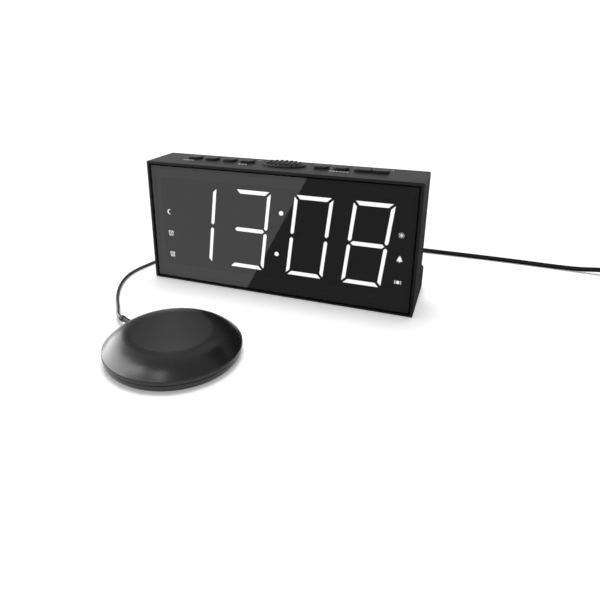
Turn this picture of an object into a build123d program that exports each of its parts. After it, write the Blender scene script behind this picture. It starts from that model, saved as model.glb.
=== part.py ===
"""Bed shaker alarm clock with its shaker puck, cords and mains adapter. Sizes are in millimetres.

The origin is on the floor under the middle of the clock's base, +X to the viewer's right, -Y to the front.
"""
import math
import os

from build123d import *

os.makedirs("parts", exist_ok=True)

# Clock envelope
clock_width = 190.0
clock_height = 88.0
body_depth = 34.0
base_depth = 52.0
shell_wall = 2.2
corner_radius = 0.9
bezel_edge = 0.35
foot_round = 1.6
pad_thickness = 1.2
pad_recess = 0.9
pad_side_margin = 15.0
pad_end_margin = 9.0
pad_clearance = 0.3
cover_rim = 4.0

# Front panel
bezel_band = 1.8
bezel_foot_band = 1.0
panel_gap = 0.9
panel_recess = 0.8
panel_thickness = 2.0
panel_corner = 1.0
panel_chamfer = 0.25
ledge_width = 2.8
ledge_thickness = 2.0

# Display, with its digits and indicators placed on the mask
mask_depth = 8.0
mask_side_margin = 2.6
mask_low_margin = 6.5
mask_high_margin = 5.5
mask_gap = 0.15
board_thickness = 1.6
digit_shares = (-0.6731, -0.2141, 0.2750, 0.7227)
digit_width_share = 0.2993
digit_margin = 4.55
digit_lift = 0.5
digit_slant = 0.11
segment_width = 2.4
bar_width = 2.8
segment_gap = 1.0
corner_gap = 1.2
segment_depth = 3.0
segment_clearance = 0.08
dot_radius = 1.6
dot_rise_share = 0.259
colon_share = 0.0334
icon_radius = 2.6
icon_recess = 0.35
left_icon_margin = 5.85
right_icon_margin = 3.3
left_icon_shares = (0.118, -0.169, -0.458)
right_icon_shares = (0.155, -0.127, -0.405)
lamp_size = 1.6
lamp_height = 1.0

# Keys, in a row on both sides of the snooze key
key_row_setback = 9.5
key_width = 9.8
key_depth = 8.0
key_corner = 2.6
key_gap = 3.75
key_rise = 1.7
key_round = 0.6
key_clearance = 0.25
key_flange = 1.0
flange_thickness = 1.0
flange_gap = 0.2
key_travel = 0.9
stem_radius = 1.6
left_key_names = ("volume_key", "alarm_two_key", "alarm_one_key", "time_key")
right_key_names = ("dimmer_key", "mode_key")
pair_width = 22.2
pair_depth = 8.0
pair_split = 0.7
pair_gap = 3.75
snooze_half_width = 15.6
snooze_half_depth = 9.6
snooze_margin = 5.9
collar_width = 1.5
collar_height = 1.1
collar_round = 0.5
snooze_rise = 1.4
snooze_round = 1.0
snooze_wall = 1.6
snooze_travel = 1.3
rib_count = 7
rib_pitch = 3.4
rib_width = 1.7
rib_height = 0.75
rib_round = 0.35
switch_side = 6.0
switch_height = 3.4
switch_bore_depth = 2.4
switch_clearance = 0.15
switch_room = 0.3
key_board_setback = 2.65
key_post_radius = 1.8
key_post_setback = 2.6

# Boards and sockets behind the display
board_side_margin = 12.8
board_edge_margin = 1.0
board_spacing = 1.0
main_board_low = 20.0
main_board_high = 42.0
main_board_setback = 12.8
socket_height = 31.0
power_jack_x = 20.0
usb_x = 52.0
shaker_jack_margin = 18.0
jack_nose = 1.9
jack_seat = 0.1
power_body_half = 4.5
power_nose_radius = 3.9
power_bore_radius = 2.8
power_bore_depth = 10.6
shaker_body_half = 5.0
shaker_nose_radius = 3.4
shaker_bore_radius = 1.8
shaker_bore_depth = 11.8
socket_clearance = 0.2
usb_half_width = 6.6
usb_half_height = 2.9
usb_wall = 0.35
usb_clearance = 0.25
usb_stop = 3.4
tongue_half_width = 5.55
tongue_thickness = 1.8
tongue_setback = 2.2
main_post_margin = 5.0
main_post_inner = (-34.0, 36.0)
main_post_radius = 2.6
chip_side = 10.0
chip_height = 1.6
header_half = 12.0
header_height = 2.5
ribbon_x = 54.0
ribbon_width = 14.0
ribbon_thickness = 0.4

# Fasteners
screw_shank = 1.0
screw_head = 1.9
screw_head_height = 1.2
screw_clearance = 0.06
board_hole_clearance = 0.2
cover_boss_margin = 3.1
cover_boss_radius = 2.8
cover_boss_rib = 1.2
cover_boss_rise = 7.0
cover_boss_drop = 8.0
cover_pad_radius = 3.3
cover_shank = 1.3
cover_head = 2.3
cover_head_sink = 2.0
screw_slot_half = 1.4
screw_slot_width = 0.6
display_post_x = 44.0
display_post_radius = 2.4

# Speaker
speaker_room = 1.2
speaker_radius = 15.8
speaker_depth = 11.0
speaker_seat = 2.6
speaker_seat_wall = 1.6
magnet_radius = 9.5
grille_radius = 11.5
grille_hole = 1.0
grille_pitch = 3.2

# Battery bay in the foot
cell_radius = 5.25
cell_length = 44.5
cell_button_radius = 1.9
cell_button = 1.0
foot_walls = 6.5
bay_end_room = 4.0
bay_depth_room = 1.7
bay_wall = 1.5
bay_floor_room = 0.2
bay_roof_room = 0.3
notch_radius = 4.0
notch_depth = 1.2
door_thickness = 2.0
door_clearance = 0.25
door_groove_half = 7.0
door_groove_pitch = 1.3
contact_half = 4.6
contact_thickness = 0.4
spring_wire = 0.35
spring_wide = 3.9
spring_narrow = 2.0
spring_steps = 12

# Shaker puck
shaker_x = -25.6
shaker_y = -115.4
shaker_radius = 38.8
shaker_rim_height = 7.0
shaker_parting = 4.8
parting_groove = 0.7
lower_inset = 0.5
lower_round = 1.4
lower_bulge_inset = 0.3
lower_bulge_height = 1.4
lip_height = 1.2
lip_inset = 2.0
lip_thickness = 1.2
lip_clearance = 0.25
rim_slope = 42.0
rim_round = 0.8
crest_radius = 22.5
crest_flat = 2.0
dish_slope = 5.0
dish_depth = 0.9
roof_room = 1.2
shaker_wall = 1.6
shaker_floor = 2.0
shaker_stand = 0.6
ring_inner = 25.0
ring_outer = 31.0
ring_depth = 1.0
ring_clearance = 0.1
shaker_screw_radius = 20.5
shaker_screw_turns = (90, 210, 330)
shaker_boss_radius = 2.7
motor_offset = -2.0
motor_radius = 5.0
motor_flat = 3.9
motor_length = 15.0
motor_nose_radius = 1.9
motor_nose = 1.2
cradle_thickness = 2.0
shaft_radius = 0.75
shaft_clearance = 0.05
weight_radius = 4.2
weight_length = 6.0
weight_room = 0.7
weight_hub_radius = 1.7
strap_thickness = 0.4
strap_width = 6.0
strap_ear = 4.5
relief_bearing = 160.0
relief_radius = 1.6
relief_overhang = 11.6
relief_knob_radius = 1.95
relief_knob_length = 2.6
relief_knob_edge = 0.3
wire_radius = 0.6
wire_gap = 0.3

# Cords
shaker_cord_diameter = 2.4
power_cord_diameter = 3.6
loop_gap = 0.5
tie_thickness = 0.7
tie_width = 5.0
tie_gap = 0.3
shaker_loop_radius = 17.4
shaker_half_turns = 6
shaker_coil_y = 86.0
power_loop_radius = 25.0
power_half_turns = 5
power_coil_y = 97.0
plug_length = 16.0
plug_gap = 0.3
plug_edge = 0.6
plug_pin_seat = 2.0
pin_clearance = 0.05
pin_end_room = 0.8
sleeve_bore = 1.25
shaker_plug_radius = 3.8
power_plug_radius = 4.9
plug_relief_length = 9.0

# Mains adapter
adapter_end_x = 235.0
adapter_end_y = 93.0
adapter_length = 58.0
adapter_width = 40.0
adapter_height = 26.0
adapter_round = 3.0
adapter_relief_length = 18.0
adapter_relief_height = 4.6
adapter_relief_radii = (2.6, 3.1, 3.6)
blade_share = 0.62
blade_length = 17.0
blade_width = 6.3
blade_thickness = 1.5
blade_spacing = 12.7
blade_hole_radius = 1.5
blade_hole_margin = 3.6

# Levels and places derived from the sizes above
foot_height = 2 * cell_radius + foot_walls
half_width = clock_width / 2
inner_half = half_width - shell_wall
case_floor = pad_thickness - pad_recess
floor_inside = case_floor + shell_wall
top_inside = clock_height - shell_wall
front_y = -base_depth / 2
body_rear_y = front_y + body_depth
base_rear_y = base_depth / 2
parting_y = body_rear_y - cover_rim
cover_inside_y = body_rear_y - shell_wall
pad_half_width = half_width - pad_side_margin
pad_half_depth = base_depth / 2 - pad_end_margin
opening_half = half_width - bezel_band
opening_low = case_floor + bezel_foot_band
opening_high = clock_height - bezel_band
panel_half = opening_half - panel_gap
panel_low = opening_low + panel_gap
panel_high = opening_high - panel_gap
panel_front_y = front_y + panel_recess
panel_back_y = panel_front_y + panel_thickness
window_half = panel_half - ledge_width
window_low = panel_low + ledge_width
window_high = panel_high - ledge_width
ledge_back_y = panel_back_y + ledge_thickness
mask_half_width = window_half - mask_side_margin
mask_low = window_low + mask_low_margin
mask_high = window_high - mask_high_margin
mask_front_y = panel_back_y + mask_gap
board_front_y = mask_front_y + mask_depth
board_back_y = board_front_y + board_thickness
digit_centres = [share * mask_half_width for share in digit_shares]
digit_width = digit_width_share * mask_half_width
digit_height = mask_high - mask_low - 2 * digit_margin
digit_mid_height = (mask_low + mask_high) / 2 + digit_lift
colon_centre = colon_share * mask_half_width
dot_rise = dot_rise_share * digit_height
icon_places = [(left_icon_margin - mask_half_width, digit_mid_height + share * digit_height)
               for share in left_icon_shares]
icon_places += [(mask_half_width - right_icon_margin, digit_mid_height + share * digit_height)
                for share in right_icon_shares]
key_y = parting_y - key_row_setback
key_pitch = key_width + key_gap
first_key_x = snooze_half_width + snooze_margin + key_width / 2
key_places = {name: -first_key_x - index * key_pitch for index, name in enumerate(left_key_names)}
key_places.update({name: first_key_x + index * key_pitch for index, name in enumerate(right_key_names)})
pair_centre = max(key_places.values()) + key_width / 2 + pair_gap + pair_width / 2
switch_places = list(key_places.values()) + [0.0, pair_centre - pair_width / 4, pair_centre + pair_width / 4]
key_post_places = [side * (first_key_x + steps * key_pitch) for side in (-1, 1) for steps in (0.5, 2.5)]
key_post_y = parting_y - key_post_setback
flange_top = top_inside - flange_gap
flange_low = flange_top - flange_thickness
switch_top = flange_low - max(key_travel, snooze_travel) - switch_room
switch_floor = switch_top - switch_bore_depth
key_board_top = switch_top - switch_height
key_board_low = key_board_top - board_thickness
key_board_half = inner_half - board_side_margin
key_board_front_y = board_back_y + board_spacing
key_board_back_y = cover_inside_y - key_board_setback
main_board_half = inner_half - board_side_margin
main_board_front_y = cover_inside_y - main_board_setback
main_board_back_y = main_board_front_y + board_thickness
main_post_places = [main_post_margin - main_board_half, *main_post_inner, main_board_half - main_post_margin]
shaker_jack_x = shaker_jack_margin - main_board_half
socket_face_y = cover_inside_y + jack_nose
jack_back_y = cover_inside_y - jack_seat
board_hole = screw_shank + board_hole_clearance
screw_pilot = screw_shank + screw_clearance
cover_boss_x = inner_half - cover_boss_margin
cover_boss_heights = (foot_height + cover_boss_rise, clock_height - cover_boss_drop)
display_post_heights = (floor_inside + display_post_radius + 0.2, top_inside - display_post_radius - 0.4)
speaker_height = key_board_low - speaker_room - speaker_radius
bay_half = cell_length + bay_end_room
bay_low = floor_inside + bay_floor_room
bay_high = foot_height - shell_wall - bay_roof_room
bay_front_y = base_rear_y - door_thickness - 2 * cell_radius - bay_depth_room
foot_inside_y = base_rear_y - shell_wall
foot_inside_top = foot_height - shell_wall
door_axis_y = base_rear_y - door_thickness / 2
door_axis_z = bay_low + door_clearance + door_thickness / 2
shell_floor = shaker_stand + shaker_floor
motor_axis_height = shell_floor + weight_radius + weight_room
motor_x = shaker_x + motor_offset
motor_back_x = motor_x - motor_length / 2
motor_front_x = motor_x + motor_length / 2
strap_top = motor_axis_height + motor_flat
shaker_crest = strap_top + strap_thickness + roof_room + shaker_wall
shaker_centre_height = shaker_crest - dish_depth
relief_reach = shaker_radius + relief_overhang
plug_face_y = body_rear_y + plug_gap
plug_end_y = plug_face_y + plug_length + plug_relief_length




def keep(builder, name):
    """Labels a finished piece and writes its file."""
    builder.part.label = name
    export_step(builder.part, f"parts/{name}.step")


def slab(low, high, mode=Mode.ADD):
    """Adds or removes a box between two opposite corners."""
    low = Vector(*low)
    high = Vector(*high)
    size = high - low
    with Locations((low + high) * 0.5):
        Box(size.X, size.Y, size.Z, mode=mode)


def rod(start, end, radius, mode=Mode.ADD):
    """Adds or removes a round bar between two points."""
    start = Vector(*start)
    axis = Vector(*end) - start
    with BuildSketch(Plane(origin=start, z_dir=axis)) as section:
        Circle(radius)
    extrude(section.sketch, amount=axis.length, mode=mode)


def prism(points, low_y, high_y, mode=Mode.ADD):
    """Adds or removes a bar of a given (x, z) outline between two depths."""
    with BuildSketch(Plane(origin=(0, low_y, 0), x_dir=(1, 0, 0), z_dir=(0, 1, 0))) as section:
        with BuildLine():
            Polyline(*[(x, -z) for x, z in points], close=True)
        make_face()
    extrude(section.sketch, amount=high_y - low_y, mode=mode)


def along(route, radius):
    """Sweeps a round tube along a route and returns the route's length."""
    with BuildSketch(Plane(origin=route @ 0, z_dir=route % 0)) as section:
        Circle(radius)
    sweep(section.sketch, path=route)
    return route.length


def cord_route(name, points, diameter):
    """Makes a cord's route of straight runs and arcs as large as the runs allow, and prints the radii."""
    spots = [Vector(*point) for point in points]
    radii = []
    for before, here, after in zip(spots, spots[1:], spots[2:]):
        turn = math.radians((here - before).get_angle(after - here))
        run = min((here - before).length, (after - here).length)
        radii.append(0.45 * run / math.tan(turn / 2))
    with BuildLine() as route:
        FilletPolyline(*spots, radius=radii)
    print(name, "radii in diameters", [round(radius / diameter, 1) for radius in radii])
    return route.wire()


def arc_about(start, centre, end):
    """Gives the start, the middle and the end of the short arc about a centre."""
    middle = (start + end) * 0.5 - centre
    return start, centre + middle.normalized() * (start - centre).length, end


def loops(start, heading, side, radius, half_turns, pitch):
    """Lays a tied coil of four layers from the top down: in, out, in and out again.

    Every half turn is half a circle, half a pitch smaller or larger than the one before, and the cord goes
    down a layer in the half turn where the spiral reverses. A quarter turn ends it.
    """
    spot = Vector(*start)
    way = Vector(*heading).normalized()
    arcs = []
    plan = []
    for layer in range(4):
        sizes = [radius - step * pitch / 2 for step in range(half_turns)]
        if layer % 2:
            sizes.reverse()
        plan += [(size, 0.0) for size in sizes]
        if layer < 3:
            reverse_size = radius + pitch / 2 if layer % 2 else radius - half_turns * pitch / 2
            plan.append((reverse_size, pitch))
    for size, drop in plan:
        left = Vector(-way.Y, way.X, 0) * side
        if drop == 0.0:
            centre = spot + left * size
            middle = centre + way * size
            arcs.append((spot, middle, centre + left * size))
            spot = centre + left * size
        else:
            end = spot + left * 2 * size - Vector(0, 0, drop)
            joint = (spot + end) * 0.5 + way * ((end - spot).length / 2)
            for first, second, tangent in ((spot, joint, way), (end, joint, way)):
                chord = second - first
                across = chord - tangent * chord.dot(tangent)
                bend = chord.length ** 2 / (2 * across.length)
                arc = arc_about(first, first + across.normalized() * bend, second)
                arcs.append(arc if first is spot else arc[::-1])
            spot = end
        way = way * -1
    left = Vector(-way.Y, way.X, 0) * side
    size = radius + pitch / 2
    centre = spot + left * size
    end = centre + way * size
    arcs.append(arc_about(spot, centre, end))
    return arcs, end, left


def coil_route(arcs, first_run, last_run):
    """Joins a coil's arcs to a short straight run at each end."""
    with BuildLine() as route:
        Line(*first_run)
        for start, middle, end in arcs:
            ThreePointArc(start, middle, end)
        Line(*last_run)
    return route.wire()


def own_gap(name, route, diameter):
    """Prints the least gap between a coil's turns, measured along its route."""
    count = int(route.length / 0.8)
    spots = [route @ (index / count) for index in range(count + 1)]
    places = [(spot.X, spot.Y, spot.Z) for spot in spots]
    apart = int(4 * diameter / 0.8)
    least = min(
        math.dist(place, other)
        for index, place in enumerate(places)
        for other in places[index + apart:]
    )
    print(name, "least gap to itself", round(least - diameter, 2), "length", round(route.length))


# Case body
with BuildPart() as case_body:
    slab((-half_width, front_y, case_floor), (half_width, parting_y, clock_height))
    fillet(case_body.edges().filter_by(Axis.Y), corner_radius)
    fillet(case_body.faces().sort_by(Axis.Y)[0].edges(), bezel_edge)
    slab((-inner_half, ledge_back_y, floor_inside), (inner_half, parting_y, top_inside), Mode.SUBTRACT)
    slab((-opening_half, front_y, opening_low), (opening_half, panel_back_y, opening_high), Mode.SUBTRACT)
    slab((-window_half, panel_back_y, window_low), (window_half, ledge_back_y, window_high), Mode.SUBTRACT)
    for side in (-1, 1):
        for height in cover_boss_heights:
            rod((side * cover_boss_x, ledge_back_y, height), (side * cover_boss_x, parting_y, height),
                cover_boss_radius)
            reach = sorted((side * cover_boss_x, side * (inner_half + 0.4)))
            slab((reach[0], ledge_back_y, height - cover_boss_rib),
                 (reach[1], parting_y, height + cover_boss_rib))
            rod((side * cover_boss_x, parting_y, height), (side * cover_boss_x, parting_y - 13.0, height),
                cover_shank + screw_clearance, Mode.SUBTRACT)
        for height in display_post_heights:
            rod((side * display_post_x, ledge_back_y - 0.2, height),
                (side * display_post_x, board_front_y, height), display_post_radius)
            rod((side * display_post_x, board_front_y, height),
                (side * display_post_x, ledge_back_y + 0.6, height),
                screw_pilot, Mode.SUBTRACT)
    for place in key_post_places:
        rod((place, key_post_y, key_board_top), (place, key_post_y, top_inside + 0.4), key_post_radius)
        rod((place, key_post_y, key_board_top), (place, key_post_y, top_inside - 0.6),
            screw_pilot, Mode.SUBTRACT)
    for place in key_places.values():
        with BuildSketch(Plane.XY.offset(top_inside)) as key_hole:
            with Locations((place, key_y)):
                RectangleRounded(key_width + 2 * key_clearance, key_depth + 2 * key_clearance,
                                 key_corner + key_clearance)
        extrude(key_hole.sketch, amount=shell_wall, mode=Mode.SUBTRACT)
    with BuildSketch(Plane.XY.offset(top_inside)) as pair_hole:
        with Locations((pair_centre, key_y)):
            RectangleRounded(pair_width + 2 * key_clearance, pair_depth + 2 * key_clearance,
                             key_corner + key_clearance)
    extrude(pair_hole.sketch, amount=shell_wall, mode=Mode.SUBTRACT)
    with BuildSketch(Plane.XY.offset(top_inside)) as snooze_hole:
        with Locations((0, key_y)):
            Ellipse(snooze_half_width - collar_width, snooze_half_depth - collar_width)
    extrude(snooze_hole.sketch, amount=shell_wall, mode=Mode.SUBTRACT)
    slab((-pad_half_width - pad_clearance, -pad_half_depth - pad_clearance, case_floor),
         (pad_half_width + pad_clearance, parting_y, case_floor + pad_recess), Mode.SUBTRACT)
keep(case_body, "case_body")

# Front panel
with BuildPart() as front_panel:
    slab((-panel_half, panel_front_y, panel_low), (panel_half, panel_back_y, panel_high))
    fillet(front_panel.edges().filter_by(Axis.Y), panel_corner)
    chamfer(front_panel.faces().sort_by(Axis.Y)[0].edges(), panel_chamfer)
keep(front_panel, "front_panel")

# Segment outlines
lit_names = ("bc", "abcdg", "abcdef", "abcdefg")


def segment_points(letter, inset):
    """Gives the (x, z) outline of one segment about the digit's middle, before the slant."""
    half_w = digit_width / 2
    half_h = digit_height / 2
    tip = segment_gap + inset
    trim = corner_gap + inset * math.sqrt(2)
    if letter == "g":
        half_b = bar_width / 2 - inset
        reach = half_w - segment_width / 2 - tip
        return [(-reach, 0.0), (half_b - reach, half_b), (reach - half_b, half_b),
                (reach, 0.0), (reach - half_b, -half_b), (half_b - reach, -half_b)]
    if letter in "ad":
        up = 1 if letter == "a" else -1
        outer = half_w - trim - inset
        inner = half_w - trim - bar_width + inset
        return [(-outer, up * (half_h - inset)), (outer, up * (half_h - inset)),
                (inner, up * (half_h - bar_width + inset)), (-inner, up * (half_h - bar_width + inset))]
    right = 1 if letter in "bc" else -1
    up = 1 if letter in "bf" else -1
    half_s = segment_width / 2 - inset
    middle = half_w - segment_width / 2
    outer = half_h - trim - inset
    inner = half_h - trim - segment_width + inset
    return [(right * middle, up * tip), (right * (middle + half_s), up * (tip + half_s)),
            (right * (middle + half_s), up * outer), (right * (middle - half_s), up * inner),
            (right * (middle - half_s), up * (tip + half_s))]


def placed(points, centre):
    """Slants an outline and moves it to its digit."""
    return [(centre + x + digit_slant * z, digit_mid_height + z) for x, z in points]


def middle_of(points):
    """Gives the middle of an outline."""
    return sum(x for x, z in points) / len(points), sum(z for x, z in points) / len(points)


dot_places = [(colon_centre + digit_slant * rise, digit_mid_height + rise) for rise in (dot_rise, -dot_rise)]

# Display mask
with BuildPart() as display_mask:
    slab((-mask_half_width, mask_front_y, mask_low), (mask_half_width, board_front_y, mask_high))
    for centre in digit_centres:
        for letter in "abcdefg":
            prism(placed(segment_points(letter, 0.0), centre), mask_front_y, board_front_y, Mode.SUBTRACT)
    for x, z in dot_places:
        rod((x, mask_front_y, z), (x, board_front_y, z), dot_radius, Mode.SUBTRACT)
    for x, z in icon_places:
        rod((x, mask_front_y, z), (x, board_front_y, z), icon_radius, Mode.SUBTRACT)
keep(display_mask, "display_mask")

# Lit segments
segment_back_y = mask_front_y + segment_depth
with BuildPart() as lit_segments:
    for centre, lit in zip(digit_centres, lit_names):
        for letter in lit:
            prism(placed(segment_points(letter, segment_clearance), centre), mask_front_y, segment_back_y)
    for x, z in dot_places:
        rod((x, mask_front_y, z), (x, segment_back_y, z), dot_radius - segment_clearance)
keep(lit_segments, "lit_segments")

# Unlit segments
with BuildPart() as unlit_segments:
    for centre, lit in zip(digit_centres, lit_names):
        for letter in "abcdefg":
            if letter not in lit:
                prism(placed(segment_points(letter, segment_clearance), centre), mask_front_y, segment_back_y)
keep(unlit_segments, "unlit_segments")

# Indicator lenses
with BuildPart() as indicator_lenses:
    for x, z in icon_places:
        rod((x, mask_front_y + icon_recess, z), (x, segment_back_y, z), icon_radius - segment_clearance)
keep(indicator_lenses, "indicator_lenses")

# Display board
with BuildPart() as display_board:
    board_half = inner_half - board_edge_margin
    slab((-board_half, board_front_y, floor_inside + board_edge_margin),
         (board_half, board_back_y, top_inside - board_edge_margin))
    slab((-snooze_half_width - key_flange, board_front_y, switch_top - snooze_travel),
         (snooze_half_width + key_flange, board_back_y, top_inside), Mode.SUBTRACT)
    for side in (-1, 1):
        for height in cover_boss_heights:
            rod((side * cover_boss_x, board_front_y, height), (side * cover_boss_x, board_back_y, height),
                cover_boss_radius + 0.4, Mode.SUBTRACT)
            reach = sorted((side * cover_boss_x, side * inner_half))
            slab((reach[0], board_front_y, height - cover_boss_rib - 0.4),
                 (reach[1], board_back_y, height + cover_boss_rib + 0.4), Mode.SUBTRACT)
        for height in display_post_heights:
            rod((side * display_post_x, board_front_y, height), (side * display_post_x, board_back_y, height),
                board_hole, Mode.SUBTRACT)
keep(display_board, "display_board")

# Lamps behind the segments
with BuildPart() as segment_leds:
    lamp_places = [middle_of(placed(segment_points(letter, 0.0), centre))
                   for centre in digit_centres for letter in "abcdefg"]
    for x, z in lamp_places + dot_places + icon_places:
        slab((x - lamp_size / 2, board_front_y - lamp_height, z - lamp_size / 2),
             (x + lamp_size / 2, board_front_y, z + lamp_size / 2))
keep(segment_leds, "segment_leds")

# Key board and switches
with BuildPart() as key_board:
    slab((-key_board_half, key_board_front_y, key_board_low),
         (key_board_half, key_board_back_y, key_board_top))
    for place in key_post_places:
        rod((place, key_post_y, key_board_low), (place, key_post_y, key_board_top), board_hole,
            Mode.SUBTRACT)
keep(key_board, "key_board")

with BuildPart() as key_switches:
    for place in switch_places:
        slab((place - switch_side / 2, key_y - switch_side / 2, key_board_top),
             (place + switch_side / 2, key_y + switch_side / 2, switch_top))
        rod((place, key_y, switch_floor), (place, key_y, switch_top), stem_radius + switch_clearance,
            Mode.SUBTRACT)
keep(key_switches, "key_switches")


def small_key(place, width, depth, cut_low, cut_high, name):
    """Makes one rounded key with its flange and stem, cut off at the given x limits."""
    with BuildPart() as key:
        with BuildSketch(Plane.XY.offset(flange_low)) as flange:
            with Locations((place, key_y)):
                RectangleRounded(width + 2 * key_flange, depth + 2 * key_flange, key_corner + key_flange)
        extrude(flange.sketch, amount=flange_thickness)
        with BuildSketch(Plane.XY.offset(flange_low)) as cap:
            with Locations((place, key_y)):
                RectangleRounded(width, depth, key_corner)
        extrude(cap.sketch, amount=clock_height + key_rise - flange_low)
        if cut_low is not None:
            slab((place - width, key_y - depth, flange_low - 1), (cut_low, key_y + depth, clock_height + 9),
                 Mode.SUBTRACT)
        if cut_high is not None:
            slab((cut_high, key_y - depth, flange_low - 1), (place + width, key_y + depth, clock_height + 9),
                 Mode.SUBTRACT)
        fillet(key.faces().sort_by(Axis.Z)[-1].edges(), key_round)
        stem_x = key.part.bounding_box().center().X
        if cut_low is not None:
            stem_x = place + width / 4
        if cut_high is not None:
            stem_x = place - width / 4
        rod((stem_x, key_y, switch_floor + key_travel + 0.1), (stem_x, key_y, flange_low + 0.2), stem_radius)
    keep(key, name)


# Small keys
for key_name, key_place in key_places.items():
    small_key(key_place, key_width, key_depth, None, None, key_name)
small_key(pair_centre, pair_width, pair_depth, None, pair_centre - pair_split / 2, "minus_key")
small_key(pair_centre, pair_width, pair_depth, pair_centre + pair_split / 2, None, "plus_key")

# Snooze key
cap_half_width = snooze_half_width - collar_width - key_clearance
cap_half_depth = snooze_half_depth - collar_width - key_clearance
cap_top = clock_height + snooze_rise
with BuildPart() as snooze_key:
    with BuildSketch(Plane.XY.offset(flange_low)):
        with Locations((0, key_y)):
            Ellipse(cap_half_width + key_flange, cap_half_depth + key_flange)
    extrude(amount=flange_thickness)
    with BuildSketch(Plane.XY.offset(flange_low)):
        with Locations((0, key_y)):
            Ellipse(cap_half_width, cap_half_depth)
    extrude(amount=cap_top - flange_low)
    fillet(snooze_key.faces().sort_by(Axis.Z)[-1].edges(), snooze_round)
    with BuildSketch(Plane.XY.offset(flange_low)):
        with Locations((0, key_y)):
            Ellipse(cap_half_width - snooze_wall, cap_half_depth - snooze_wall)
    extrude(amount=cap_top - snooze_wall - flange_low, mode=Mode.SUBTRACT)
    for index in range(rib_count):
        rib_x = (index - (rib_count - 1) / 2) * rib_pitch
        share = math.sqrt(max(0.0, 1 - (rib_x / (cap_half_width - snooze_round * 0.6)) ** 2))
        rib_half = (cap_half_depth - snooze_round) * share
        slab((rib_x - rib_width / 2, key_y - rib_half, cap_top - 0.4),
             (rib_x + rib_width / 2, key_y + rib_half, cap_top + rib_height))
    rib_tops = [face for face in snooze_key.faces() if face.center().Z > cap_top + rib_height - 0.01]
    fillet([edge for face in rib_tops for edge in face.edges()], rib_round)
    rod((0, key_y, switch_floor + snooze_travel + 0.1), (0, key_y, cap_top - snooze_wall + 0.2), stem_radius)
keep(snooze_key, "snooze_key")

# Snooze collar
with BuildPart() as snooze_collar:
    with BuildSketch(Plane.XY.offset(clock_height)):
        with Locations((0, key_y)):
            Ellipse(snooze_half_width, snooze_half_depth)
    extrude(amount=collar_height)
    fillet(snooze_collar.faces().sort_by(Axis.Z)[-1].edges(), collar_round)
    with BuildSketch(Plane.XY.offset(clock_height)):
        with Locations((0, key_y)):
            Ellipse(snooze_half_width - collar_width, snooze_half_depth - collar_width)
    extrude(amount=collar_height, mode=Mode.SUBTRACT)
keep(snooze_collar, "snooze_collar")

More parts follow.
